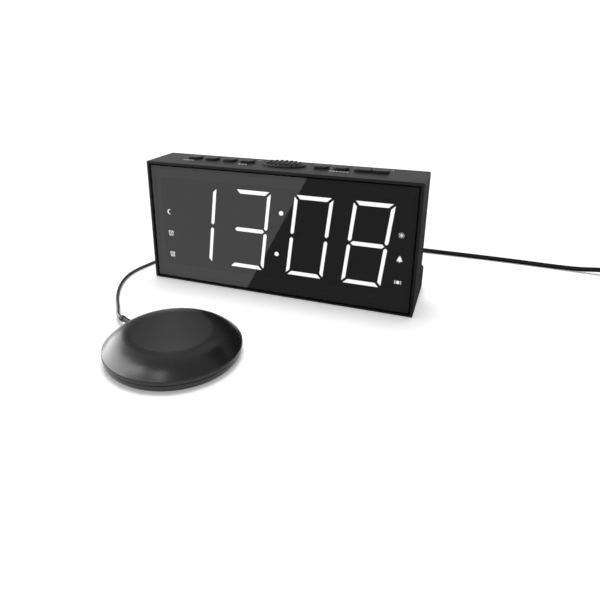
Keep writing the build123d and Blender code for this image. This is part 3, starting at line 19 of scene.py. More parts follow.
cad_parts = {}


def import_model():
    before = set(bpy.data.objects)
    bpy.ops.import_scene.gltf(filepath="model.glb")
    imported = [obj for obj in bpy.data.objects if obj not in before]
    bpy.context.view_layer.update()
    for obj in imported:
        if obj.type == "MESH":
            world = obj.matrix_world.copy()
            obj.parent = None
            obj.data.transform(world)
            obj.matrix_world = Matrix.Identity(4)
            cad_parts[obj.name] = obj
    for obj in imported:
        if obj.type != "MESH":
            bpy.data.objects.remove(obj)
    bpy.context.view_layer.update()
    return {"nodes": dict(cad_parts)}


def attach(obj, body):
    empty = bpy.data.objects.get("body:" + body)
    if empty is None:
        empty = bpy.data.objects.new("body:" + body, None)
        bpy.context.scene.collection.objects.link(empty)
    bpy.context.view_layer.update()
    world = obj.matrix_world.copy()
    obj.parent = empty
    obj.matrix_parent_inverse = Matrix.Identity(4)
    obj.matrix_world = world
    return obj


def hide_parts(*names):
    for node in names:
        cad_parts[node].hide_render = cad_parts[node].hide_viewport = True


LOG = logging.getLogger("bed_shaker_clock")
MM = 0.001
NOISE_MEAN = 0.5
SURFACE_SOCKETS = ("Base Color", "Metallic", "Roughness", "Alpha", "Normal", "Specular IOR Level",
                   "Emission Color", "Emission Strength")
# Sockets of the colour mixer, by number, because its other kinds share their names.
MIX_SHARE, MIX_FIRST, MIX_SECOND, MIX_RESULT = 0, 6, 7, 2

Colour = tuple[float, float, float]
Spot = tuple[float, float, float]
Point = tuple[float, float]
RIGHT: Spot = (1.0, 0.0, 0.0)
LEFT: Spot = (-1.0, 0.0, 0.0)
BACK: Spot = (0.0, 1.0, 0.0)
FRONT: Spot = (0.0, -1.0, 0.0)
UP: Spot = (0.0, 0.0, 1.0)
DOWN: Spot = (0.0, 0.0, -1.0)


class Body(Enum):
    """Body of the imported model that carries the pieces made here."""

    CLOCK = "clock"


class Slot(Enum):
    """The record's material slots of the pieces made here."""

    CASE = "case_black"
    COVER = "cover_black"
    GLOW = "segment_lit"
    PLUG = "plug_black"
    CORD = "cord_black"
    ADAPTER = "adapter_black"


class Stiffness(Enum):
    """How a cord bends."""

    LIMP = "limp"
    MEDIUM = "medium"


class Signal:
    """One output socket of a shader tree. Arithmetic on it adds Math nodes to the tree."""

    def __init__(self, tree: "ShaderTree", socket: bpy.types.NodeSocket) -> None:
        """Keeps the socket and the tree that it belongs to."""
        self.tree = tree
        self.socket = socket

    def _math(self, operation: str, first: "Feed", second: "Feed") -> "Signal":
        """Adds one Math node.

        Args:
            operation: The node's operation.
            first: Its first value or link.
            second: Its second value or link.

        Returns:
            The node's output.
        """
        return self.tree.add("ShaderNodeMath", {"operation": operation}, {0: first, 1: second})

    def __add__(self, other: "Feed") -> "Signal":
        """Gives the sum."""
        return self._math("ADD", self, other)

    def __radd__(self, other: "Feed") -> "Signal":
        """Gives the sum with a number on the left."""
        return self._math("ADD", other, self)

    def __sub__(self, other: "Feed") -> "Signal":
        """Gives the difference."""
        return self._math("SUBTRACT", self, other)

    def __rsub__(self, other: "Feed") -> "Signal":
        """Gives the difference from a number on the left."""
        return self._math("SUBTRACT", other, self)

    def __mul__(self, other: "Feed") -> "Signal":
        """Gives the product."""
        return self._math("MULTIPLY", self, other)

    def __rmul__(self, other: "Feed") -> "Signal":
        """Gives the product with a number on the left."""
        return self._math("MULTIPLY", other, self)

    def __gt__(self, other: "Feed") -> "Signal":
        """Gives 1 where this is the larger one, and 0 elsewhere."""
        return self._math("GREATER_THAN", self, other)

    def __lt__(self, other: "Feed") -> "Signal":
        """Gives 1 where this is the smaller one, and 0 elsewhere."""
        return self._math("LESS_THAN", self, other)

    def maximum(self, other: "Feed") -> "Signal":
        """Gives the larger of the two."""
        return self._math("MAXIMUM", self, other)

    def wrapped(self, period: float) -> "Signal":
        """Gives the remainder after whole periods, never negative."""
        return self._math("FLOORED_MODULO", self, period)


Feed = Union[float, tuple, Signal]


class ShaderTree:
    """A node tree whose nodes come from one method, for a material or for the world."""

    def __init__(self, owner: Union[bpy.types.Material, bpy.types.World]) -> None:
        """Takes the tree of a material or a world and empties it.

        Args:
            owner: The material or the world.
        """
        owner.use_nodes = True
        self.owner = owner
        self.tree = owner.node_tree
        self.tree.nodes.clear()

    def add(self, kind: str, settings: dict | None = None, sockets: dict | None = None,
            output: Union[int, str] = 0) -> Signal:
        """Adds a node.

        Args:
            kind: The node's type.
            settings: Its properties, set first.
            sockets: Values or links of its inputs, by name or number.
            output: The output that is wanted, by name or number.

        Returns:
            That output.
        """
        node = self.tree.nodes.new(kind)
        for key, value in (settings or {}).items():
            setattr(node, key, value)
        for key, value in (sockets or {}).items():
            self._feed(node.inputs[key], value)
        return Signal(self, node.outputs[output] if len(node.outputs) else None)

    def _feed(self, socket: bpy.types.NodeSocket, value: Feed) -> None:
        """Links a signal to an input, or sets the input's value.

        Args:
            socket: The input.
            value: A signal, or the value to set.
        """
        if isinstance(value, Signal):
            self.tree.links.new(value.socket, socket)
        else:
            socket.default_value = value

    def place(self) -> Signal:
        """Gives the object coordinates, which are the model's own place in metres."""
        return self.add("ShaderNodeTexCoord", output="Object")

    def part_of(self, vector: Signal, axis: str) -> Signal:
        """Gives one coordinate of a vector.

        Args:
            vector: The vector.
            axis: X, Y or Z.

        Returns:
            The coordinate.
        """
        return self.add("ShaderNodeSeparateXYZ", sockets={0: vector}, output=axis)

    def noise(self, size: float, detail: float = 2.0, stretch: Spot = (1.0, 1.0, 1.0)) -> Signal:
        """Adds a noise of a given grain size on the object coordinates.

        Args:
            size: The grain's size in metres.
            detail: The number of finer octaves.
            stretch: How much denser the grain is along each axis.

        Returns:
            The noise, about its mean of 0.5.
        """
        mapped = self.add("ShaderNodeMapping", sockets={"Vector": self.place(), "Scale": stretch})
        grain = {"Vector": mapped, "Scale": 1.0 / size, "Detail": detail}
        return self.add("ShaderNodeTexNoise", sockets=grain)

    def between(self, share: Feed, low: Colour, high: Colour) -> Signal:
        """Mixes two colours.

        Args:
            share: How much of the second one.
            low: The first colour.
            high: The second colour.

        Returns:
            The mixed colour.
        """
        ends = {MIX_SHARE: share, MIX_FIRST: (*low, 1.0), MIX_SECOND: (*high, 1.0)}
        return self.add("ShaderNodeMix", {"data_type": "RGBA"}, ends, output=MIX_RESULT)

    def bump(self, height: Signal, depth: float) -> Signal:
        """Turns a height between 0 and 1 into a normal.

        Args:
            height: The height.
            depth: The height's full size in metres.

        Returns:
            The normal.
        """
        return self.add("ShaderNodeBump", sockets={"Height": height, "Distance": depth})

    def close(self, **sockets: Feed) -> bpy.types.Material:
        """Ends the tree in a surface shader.

        Args:
            sockets: The shader's inputs, with their words joined by underscores.

        Returns:
            The finished material.
        """
        names = {name.lower().replace(" ", "_"): name for name in SURFACE_SOCKETS}
        inputs = {names[key]: value for key, value in sockets.items()}
        self.end(self.add("ShaderNodeBsdfPrincipled", sockets=inputs))
        return self.owner

    def end(self, surface: Signal) -> None:
        """Shows a shader on the material's surface."""
        self.add("ShaderNodeOutputMaterial", sockets={"Surface": surface})


def material_tree(name: str) -> ShaderTree:
    """Starts a new material's tree."""
    return ShaderTree(bpy.data.materials.new(name))


def scaled(colour: Colour, share: float) -> Colour:
    """Gives a lighter or darker colour."""
    return colour[0] * share, colour[1] * share, colour[2] * share


@dataclass(frozen=True)
class MouldedPlastic:
    """Injection-moulded plastic with a fine eroded grain and faint flow marks."""

    name: str
    colour: Colour
    roughness: float
    grain: float = 0.4 * MM
    depth: float = 0.012 * MM
    grain_dulls: float = 0.16
    flow: float = 14 * MM
    flow_dulls: float = 0.10
    mottle: float = 0.10
    specular: float = 0.4

    def make(self) -> bpy.types.Material:
        """Builds the material.

        Returns:
            The material.
        """
        tree = material_tree(self.name)
        fine = tree.noise(self.grain, detail=3.0)
        broad = tree.noise(self.flow)
        pale = scaled(self.colour, 1 + self.mottle)
        colour = tree.between(broad, scaled(self.colour, 1 - self.mottle), pale)
        grain = (fine - NOISE_MEAN) * self.grain_dulls
        roughness = self.roughness + grain + (broad - NOISE_MEAN) * self.flow_dulls
        return tree.close(base_color=colour, roughness=roughness, normal=tree.bump(fine, self.depth),
                          specular_ior_level=self.specular)


@dataclass(frozen=True)
class SmokedAcrylic:
    """Polished see-through panel, tinted by a film on its front, with a printed border on its back."""

    name: str = "smoked_acrylic"
    tint: Colour = (0.0016, 0.0016, 0.0018)
    speck: float = 1.2 * MM
    speck_lifts: float = 1.6
    wipe: float = 22 * MM
    wipe_stretch: Spot = (1.0, 1.0, 3.0)
    wipe_dulls: float = 0.02
    roughness: float = 0.02
    specular: float = 0.9
    cover: float = 0.72
    tinted_before: float = -24.2 * MM
    clear_half: float = 86.4 * MM
    clear_low: float = 12.0 * MM
    clear_high: float = 76.5 * MM

    def make(self) -> bpy.types.Material:
        """Builds the material.

        Returns:
            The material.
        """
        tree = material_tree(self.name)
        wipe = tree.noise(self.wipe, detail=3.0, stretch=self.wipe_stretch)
        speck = tree.noise(self.speck, detail=1.0)
        colour = tree.between(speck, self.tint, scaled(self.tint, self.speck_lifts))
        place = tree.place()
        across = tree.part_of(place, "X")
        height = tree.part_of(place, "Z")
        front = tree.part_of(place, "Y") < self.tinted_before
        beside = (across > self.clear_half).maximum(across < -self.clear_half)
        border = beside.maximum(height > self.clear_high).maximum(height < self.clear_low)
        cover = front * self.cover + (1 - front) * border
        return tree.close(base_color=colour, roughness=self.roughness + wipe * self.wipe_dulls, alpha=cover,
                          specular_ior_level=self.specular)


@dataclass(frozen=True)
class LitDiffuser:
    """White light guide that glows evenly, with a faint grain of its filler."""

    name: str
    colour: Colour
    strength: float
    grain: float = 0.8 * MM
    grain_dims: float = 0.94
    grain_dulls: float = 0.1
    roughness: float = 0.45

    def make(self) -> bpy.types.Material:
        """Builds the material.

        Returns:
            The material.
        """
        tree = material_tree(self.name)
        grain = tree.noise(self.grain)
        glow = tree.between(grain, scaled(self.colour, self.grain_dims), self.colour)
        return tree.close(base_color=glow, roughness=self.roughness + grain * self.grain_dulls,
                          emission_color=glow, emission_strength=self.strength)


@dataclass(frozen=True)
class PlatedMetal:
    """Plated or ground metal with fine marks along one axis."""

    name: str
    colour: Colour
    roughness: float
    stretch: Spot = (1.0, 1.0, 1.0)
    mark: float = 0.25 * MM
    mark_depth: float = 0.008 * MM
    mark_dulls: float = 0.18
    cloud: float = 3.5 * MM
    cloud_dims: float = 0.86

    def make(self) -> bpy.types.Material:
        """Builds the material.

        Returns:
            The material.
        """
        tree = material_tree(self.name)
        lines = tree.noise(self.mark, detail=3.0, stretch=self.stretch)
        cloud = tree.noise(self.cloud)
        colour = tree.between(cloud, scaled(self.colour, self.cloud_dims), self.colour)
        roughness = self.roughness + (lines - NOISE_MEAN) * self.mark_dulls
        return tree.close(base_color=colour, metallic=1.0, roughness=roughness,
                          normal=tree.bump(lines, self.mark_depth))


@dataclass(frozen=True)
class SoftRubber:
    """Soft moulded rubber or cord sheath with a dull bloom in patches."""

    name: str
    colour: Colour
    roughness: float
    grain: float = 0.6 * MM
    depth: float = 0.010 * MM
    bloom: float = 6 * MM
    bloom_dulls: float = 0.14
    darkest: float = 0.85
    palest: float = 1.25
    specular: float = 0.45

    def make(self) -> bpy.types.Material:
        """Builds the material.

        Returns:
            The material.
        """
        tree = material_tree(self.name)
        fine = tree.noise(self.grain)
        bloom = tree.noise(self.bloom, detail=3.0)
        colour = tree.between(bloom, scaled(self.colour, self.darkest), scaled(self.colour, self.palest))
        roughness = self.roughness + (bloom - NOISE_MEAN) * self.bloom_dulls
        return tree.close(base_color=colour, roughness=roughness, normal=tree.bump(fine, self.depth),
                          specular_ior_level=self.specular)


@dataclass(frozen=True)
class BoardLacquer:
    """Green solder lacquer with copper tracks showing through as lighter lines."""

    name: str = "board_lacquer"
    colour: Colour = (0.008, 0.075, 0.030)
    track: Colour = (0.020, 0.135, 0.050)
    pitch: float = 1.9 * MM
    width: float = 0.7 * MM
    cross_pitch: float = 9.5 * MM
    bend: float = 26 * MM
    track_height: float = 0.03 * MM
    track_dulls: float = 0.06
    roughness: float = 0.3

    def make(self) -> bpy.types.Material:
        """Builds the material.

        Returns:
            The material.
        """
        tree = material_tree(self.name)
        place = tree.place()
        bend = (tree.noise(self.bend, detail=0.0) > NOISE_MEAN) * (self.pitch / 2)
        across = (tree.part_of(place, "Z") + bend).wrapped(self.pitch)
        along = (tree.part_of(place, "X") + bend).wrapped(self.cross_pitch)
        tracks = (across < self.width).maximum(along < self.width)
        colour = tree.between(tracks, self.colour, self.track)
        return tree.close(base_color=colour, roughness=self.roughness + tracks * self.track_dulls,
                          normal=tree.bump(tracks, self.track_height))


@dataclass(frozen=True)
class CellSleeve:
    """Shrink sleeve of a plain battery cell, grey with a dark band near the button."""

    name: str = "cell_sleeve"
    cell_length: float = 44.5 * MM
    band: float = 9.0 * MM
    colour: Colour = (0.30, 0.32, 0.35)
    band_colour: Colour = (0.03, 0.05, 0.09)
    cloud: float = 2 * MM
    cloud_dulls: float = 0.12
    roughness: float = 0.26
    specular: float = 0.5

    def make(self) -> bpy.types.Material:
        """Builds the material.

        Returns:
            The material.
        """
        tree = material_tree(self.name)
        along = tree.part_of(tree.place(), "X").wrapped(self.cell_length)
        banded = along > self.cell_length - self.band
        colour = tree.between(banded, self.colour, self.band_colour)
        roughness = self.roughness + tree.noise(self.cloud) * self.cloud_dulls
        return tree.close(base_color=colour, roughness=roughness, specular_ior_level=self.specular)


@dataclass(frozen=True)
class PrintedInk:
    """Pad-printed ink, slightly uneven in cover."""

    name: str
    colour: Colour
    grain: float = 0.35 * MM
    grain_dims: float = 0.8
    grain_dulls: float = 0.1
    roughness: float = 0.5

    def make(self) -> bpy.types.Material:
        """Builds the material.

        Returns:
            The material.
        """
        tree = material_tree(self.name)
        grain = tree.noise(self.grain)
        colour = tree.between(grain, scaled(self.colour, self.grain_dims), self.colour)
        return tree.close(base_color=colour, roughness=self.roughness + grain * self.grain_dulls)


@dataclass(frozen=True)
class PressedPaper:
    """Dull fibrous paper of a loudspeaker cone."""

    name: str = "cone_paper"
    colour: Colour = (0.02, 0.02, 0.02)
    fibre: float = 0.5 * MM
    fibre_stretch: Spot = (1.0, 1.0, 2.5)
    fibre_depth: float = 0.06 * MM
    fibre_dulls: float = 0.1
    darkest: float = 0.6
    palest: float = 1.5
    roughness: float = 0.8

    def make(self) -> bpy.types.Material:
        """Builds the material.

        Returns:
            The material.
        """
        tree = material_tree(self.name)
        fibre = tree.noise(self.fibre, detail=4.0, stretch=self.fibre_stretch)
        colour = tree.between(fibre, scaled(self.colour, self.darkest), scaled(self.colour, self.palest))
        return tree.close(base_color=colour, roughness=self.roughness + fibre * self.fibre_dulls,
                          normal=tree.bump(fibre, self.fibre_depth))


Finish = Union[MouldedPlastic, SmokedAcrylic, LitDiffuser, PlatedMetal, SoftRubber, BoardLacquer, CellSleeve,
               PrintedInk, PressedPaper]


@dataclass
class Palette:
    """Every finish of the object, each made once."""

    made: dict[str, bpy.types.Material] = field(default_factory=dict)

    def get(self, finish: Finish) -> bpy.types.Material:
        """Gives a finish's material, made at its first use.

        Args:
            finish: The finish.

        Returns:
            Its material.
        """
        if finish.name not in self.made:
            self.made[finish.name] = finish.make()
        return self.made[finish.name]


CASE = MouldedPlastic("case_plastic", (0.012, 0.012, 0.0125), 0.50, specular=0.25)
COVER = MouldedPlastic("cover_plastic", (0.012, 0.012, 0.0125), 0.56, grain=0.6 * MM, depth=0.03 * MM,
                       specular=0.25)
KEYS = MouldedPlastic("key_plastic", (0.012, 0.012, 0.0125), 0.46, grain=0.3 * MM, specular=0.3)
MASK = MouldedPlastic("mask_plastic", (0.004, 0.004, 0.004), 0.7, specular=0.1)
PUCK = MouldedPlastic("puck_plastic", (0.007, 0.007, 0.007), 0.26, grain=0.5 * MM, depth=0.006 * MM,
                      mottle=0.06, specular=0.5)
DARK_PLASTIC = MouldedPlastic("dark_plastic", (0.012, 0.012, 0.012), 0.45)
ADAPTER = MouldedPlastic("adapter_plastic", (0.013, 0.013, 0.014), 0.52, grain=0.7 * MM, depth=0.035 * MM)
WHITE_PLASTIC = MouldedPlastic("white_plastic", (0.72, 0.72, 0.70), 0.4, mottle=0.03)
RIBBON = MouldedPlastic("ribbon_plastic", (0.42, 0.42, 0.42), 0.45, mottle=0.05)
WIRE = MouldedPlastic("wire_plastic", (0.42, 0.02, 0.015), 0.4, mottle=0.05)
BAND = MouldedPlastic("band_weave", (0.02, 0.02, 0.021), 0.75, grain=0.9 * MM, depth=0.12 * MM)
DULL_SEGMENT = MouldedPlastic("dull_segment", (0.006, 0.006, 0.006), 0.6, specular=0.1)
LAMP = MouldedPlastic("lamp_resin", (0.75, 0.72, 0.50), 0.25, mottle=0.04)
PANEL = SmokedAcrylic()
LIT = LitDiffuser("lit_segment", (1.0, 1.0, 1.0), 3.5)
ICON_GLOW = LitDiffuser("icon_glow", (1.0, 1.0, 1.0), 3.2)
NICKEL = PlatedMetal("nickel_plate", (0.66, 0.64, 0.60), 0.24)
STEEL = PlatedMetal("zinc_steel", (0.50, 0.50, 0.51), 0.36, stretch=(1.0, 6.0, 1.0))
BRASS = PlatedMetal("sintered_brass", (0.60, 0.42, 0.18), 0.42)
PAD = SoftRubber("pad_rubber", (0.012, 0.012, 0.012), 0.78, depth=0.03 * MM)
PLUG = SoftRubber("plug_rubber", (0.011, 0.011, 0.0115), 0.46)
SHEATH = SoftRubber("cord_sheath", (0.006, 0.006, 0.0062), 0.45, specular=0.25)
THIN_SHEATH = SoftRubber("thin_cord_sheath", (0.014, 0.014, 0.0145), 0.30, specular=0.8)
LACQUER = BoardLacquer()
SLEEVE = CellSleeve()
PAPER = PressedPaper()
INK = PrintedInk("label_ink", (0.70, 0.70, 0.70))


class Outline:
    """Flat marks gathered on a plane, then made thin solid plates. Marks are in millimetres about a pen."""

    def __init__(self, origin: Spot, right: Spot, up: Spot) -> None:
        """Starts an empty sheet of marks.

        Args:
            origin: The plane's origin, in metres.
            right: Its first direction.
            up: Its second direction.
        """
        self.origin = Vector(origin)
        self.right = Vector(right)
        self.up = Vector(up)
        self.pen: Point = (0.0, 0.0)
        self.loops: list[list[Vector]] = []

    def move(self, x: float, y: float) -> "Outline":
        """Sets the pen's place and gives the sheet."""
        self.pen = (x, y)
        return self

    def polygon(self, points: Iterable[Point]) -> None:
        """Adds one closed outline.

        Args:
            points: Its corners, about the pen.
        """
        left, low = self.pen
        self.loops.append([self.origin + (self.right * (left + x) + self.up * (low + y)) * MM
                           for x, y in points])

    def bar(self, start: Point, end: Point, width: float) -> None:
        """Adds a straight stroke.

        Args:
            start: Its first end.
            end: Its other end.
            width: Its width.
        """
        way = Vector((end[0] - start[0], end[1] - start[1])).normalized() * (width / 2)
        side = (-way.y, way.x)
        self.polygon([(start[0] + side[0], start[1] + side[1]), (start[0] - side[0], start[1] - side[1]),
                      (end[0] - side[0], end[1] - side[1]), (end[0] + side[0], end[1] + side[1])])

    def disc(self, radius: float, centre: Point = (0.0, 0.0), sides: int = 20) -> None:
        """Adds a filled circle."""
        turns = [2 * math.pi * index / sides for index in range(sides)]
        self.polygon([(centre[0] + radius * math.cos(t), centre[1] + radius * math.sin(t)) for t in turns])

    def arc(self, radius: float, width: float, span: Point = (0.0, 360.0), steps: int = 16,
            centre: Point = (0.0, 0.0)) -> None:
        """Adds a curved stroke.

        Args:
            radius: Its middle radius.
            width: The stroke's width.
            span: The angles that it starts and ends at, in degrees.
            steps: The number of straight pieces.
            centre: The middle of the arc.
        """
        first, last = span
        angles = [math.radians(first + (last - first) * index / steps) for index in range(steps + 1)]
        inner, outer = radius - width / 2, radius + width / 2
        for near, far in zip(angles, angles[1:]):
            corners = [(near, outer), (near, inner), (far, inner), (far, outer)]
            self.polygon([(centre[0] + reach * math.cos(t), centre[1] + reach * math.sin(t))
                          for t, reach in corners])

    def sun(self, radius: float, rays: Point, width: float, sides: int) -> None:
        """Adds a filled circle with eight rays.

        Args:
            radius: The circle's radius.
            rays: How far from the middle the rays start and end.
            width: The rays' width.
            sides: The circle's sides.
        """
        self.disc(radius, sides=sides)
        for index in range(8):
            turn = math.pi * index / 4
            start, end = ((reach * math.cos(turn), reach * math.sin(turn)) for reach in rays)
            self.bar(start, end, width)

    def shaken_disc(self, radius: float, waves: Sequence[float], width: float, spread: float,
                    steps: int) -> None:
        """Adds a filled circle between waves on its left and right.

        Args:
            radius: The circle's radius.
            waves: The waves' radii.
            width: The waves' width.
            spread: How far each wave reaches up and down, in degrees.
            steps: The number of straight pieces of a wave.
        """
        self.disc(radius)
        for reach in waves:
            for middle in (0, 180):
                self.arc(reach, width, (middle - spread, middle + spread), steps)

    def solid(self, name: str, thickness: float) -> bpy.types.Object:
        """Makes the marks one mesh of thin closed plates.

        Args:
            name: The new object's name.
            thickness: How far the plates stand off the plane, in metres.

        Returns:
            The object.
        """
        shape = bmesh.new()
        lift = self.right.cross(self.up).normalized() * thickness
        for loop in self.loops:
            low = [shape.verts.new(point) for point in loop]
            high = [shape.verts.new(point + lift) for point in loop]
            shape.faces.new(low[::-1])
            shape.faces.new(high)
            for index in range(len(loop)):
                after = (index + 1) % len(loop)
                shape.faces.new((low[index], low[after], high[after], high[index]))
        bmesh.ops.recalc_face_normals(shape, faces=shape.faces)
        return placed_mesh(name, shape)


def placed_mesh(name: str, shape: bmesh.types.BMesh) -> bpy.types.Object:
    """Turns a bmesh into an object of the scene.

    Args:
        name: The object's name.
        shape: Its shape, which is freed.

    Returns:
        The object.
    """
    mesh = bpy.data.meshes.new(name)
    shape.to_mesh(mesh)
    shape.free()
    return linked(name, mesh)


def linked(name: str, data: bpy.types.ID) -> bpy.types.Object:
    """Makes an object of the scene from a mesh, a curve, a light or a camera.

    Args:
        name: The object's name.
        data: What it shows.

    Returns:
        The object.
    """
    made = bpy.data.objects.new(name, data)
    bpy.context.scene.collection.objects.link(made)
    return made


def settle(piece: bpy.types.Object, material: bpy.types.Material) -> bpy.types.Object:
    """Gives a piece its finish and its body.

    Args:
        piece: The piece.
        material: Its finish.

    Returns:
        The piece.
    """
    piece.data.materials.clear()
    piece.data.materials.append(material)
    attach(piece, Body.CLOCK.value)
    LOG.info("made %s on %s", piece.name, Body.CLOCK.value)
    return piece


@dataclass
class Dresser:
    """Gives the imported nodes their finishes."""

    nodes: dict[str, bpy.types.Object]
    palette: Palette

    def dress(self, finish: Finish, *names: str) -> None:
        """Puts one finish on several nodes.

        Args:
            finish: The finish.
            names: The nodes.
        """
        material = self.palette.get(finish)
        for name in names:
            slots = self.nodes[name].data.materials
            slots.clear()
            slots.append(material)
            LOG.info("dressed %s in %s", name, finish.name)


class RibTree:
    """Geometry node tree that repeats one ring or bar along a line."""

    SOCKETS = (("Count", "NodeSocketInt"), ("Pitch", "NodeSocketFloat"), ("Reach", "NodeSocketFloat"),
               ("Thickness", "NodeSocketFloat"), ("Material", "NodeSocketMaterial"))
    RING_SIDES = 32
    RING_SECTION_SIDES = 8
    BAR_SECTION_SIDES = 10

    def __init__(self, name: str, as_rings: bool) -> None:
        """Builds the tree.

        Args:
            name: The tree's name.
            as_rings: Whether it repeats rings about the line, or bars across it.
        """
        self.group = bpy.data.node_groups.new(name, "GeometryNodeTree")
        face = self.group.interface
        for label, kind in self.SOCKETS:
            face.new_socket(name=label, in_out="INPUT", socket_type=kind)
        face.new_socket(name="Geometry", in_out="OUTPUT", socket_type="NodeSocketGeometry")
        sizes = self._node("NodeGroupInput").outputs
        step = self._node("ShaderNodeCombineXYZ", {"Z": sizes["Pitch"]})
        line = self._node("GeometryNodeMeshLine", {"Count": sizes["Count"], "Offset": step.outputs[0]})
        shape = self._ring(sizes) if as_rings else self._bar(sizes)
        repeated = self._node("GeometryNodeInstanceOnPoints",
                              {"Points": line.outputs[0], "Instance": shape.outputs[0]})
        real = self._node("GeometryNodeRealizeInstances", {"Geometry": repeated.outputs[0]})
        finished = self._node("GeometryNodeSetMaterial",
                              {"Geometry": real.outputs[0], "Material": sizes["Material"]})
        self._node("NodeGroupOutput", {"Geometry": finished.outputs[0]})

    def _node(self, kind: str, sockets: dict | None = None, settings: dict | None = None) -> bpy.types.Node:
        """Adds a node.

        Args:
            kind: The node's type.
            sockets: Links or values of its inputs, by name or number.
            settings: Its properties, set first.

        Returns:
            The node.
        """
        node = self.group.nodes.new(kind)
        for key, value in (settings or {}).items():
            setattr(node, key, value)
        for key, value in (sockets or {}).items():
            if isinstance(value, bpy.types.NodeSocket):
                self.group.links.new(value, node.inputs[key])
            else:
                node.inputs[key].default_value = value
        return node

    def _circle(self, sides: int, radius: bpy.types.NodeSocket) -> bpy.types.NodeSocket:
        """Adds a circle and gives its curve."""
        circle = self._node("GeometryNodeCurvePrimitiveCircle", {"Resolution": sides, "Radius": radius})
        return circle.outputs[0]

    def _ring(self, sizes: bpy.types.NodeOutputs) -> bpy.types.Node:
        """Adds a torus about the line.

        Args:
            sizes: The tree's inputs.

        Returns:
            The node that gives the torus.
        """
        path = self._circle(self.RING_SIDES, sizes["Reach"])
        section = self._circle(self.RING_SECTION_SIDES, sizes["Thickness"])
        return self._node("GeometryNodeCurveToMesh", {"Curve": path, "Profile Curve": section})

    def _bar(self, sizes: bpy.types.NodeOutputs) -> bpy.types.Node:
        """Adds a round bar across the line, along X.

        Args:
            sizes: The tree's inputs.

        Returns:
            The node that gives the bar.
        """
        half = self._node("ShaderNodeCombineXYZ", {"X": sizes["Reach"]}).outputs[0]
        other = self._node("ShaderNodeVectorMath", {0: half, "Scale": -1.0}, {"operation": "SCALE"})
        path = self._node("GeometryNodeCurvePrimitiveLine", {"Start": other.outputs[0], "End": half})
        section = self._circle(self.BAR_SECTION_SIDES, sizes["Thickness"])
        return self._node("GeometryNodeCurveToMesh",
                          {"Curve": path.outputs[0], "Profile Curve": section, "Fill Caps": True})

    def lay(self, name: str, place: Matrix, **sizes: Union[float, bpy.types.Material]) -> bpy.types.Object:
        """Makes one row of ribs as a plain mesh.

        Args:
            name: The new object's name.
            place: Where the row starts, with the line along its Z axis.
            sizes: Values of the tree's inputs by their names in small letters.

        Returns:
            The object.
        """
        made = linked(name, bpy.data.meshes.new(name))
        modifier = made.modifiers.new("ribs", "NODES")
        modifier.node_group = self.group
        for item in self.group.interface.items_tree:
            if item.name.lower() in sizes:
                modifier[item.identifier] = sizes[item.name.lower()]
        scene = bpy.context.evaluated_depsgraph_get()
        mesh = bpy.data.meshes.new_from_object(made.evaluated_get(scene))
        made.modifiers.clear()
        mesh.transform(place)
        for face in mesh.polygons:
            face.use_smooth = True
        made.data = mesh
        return made


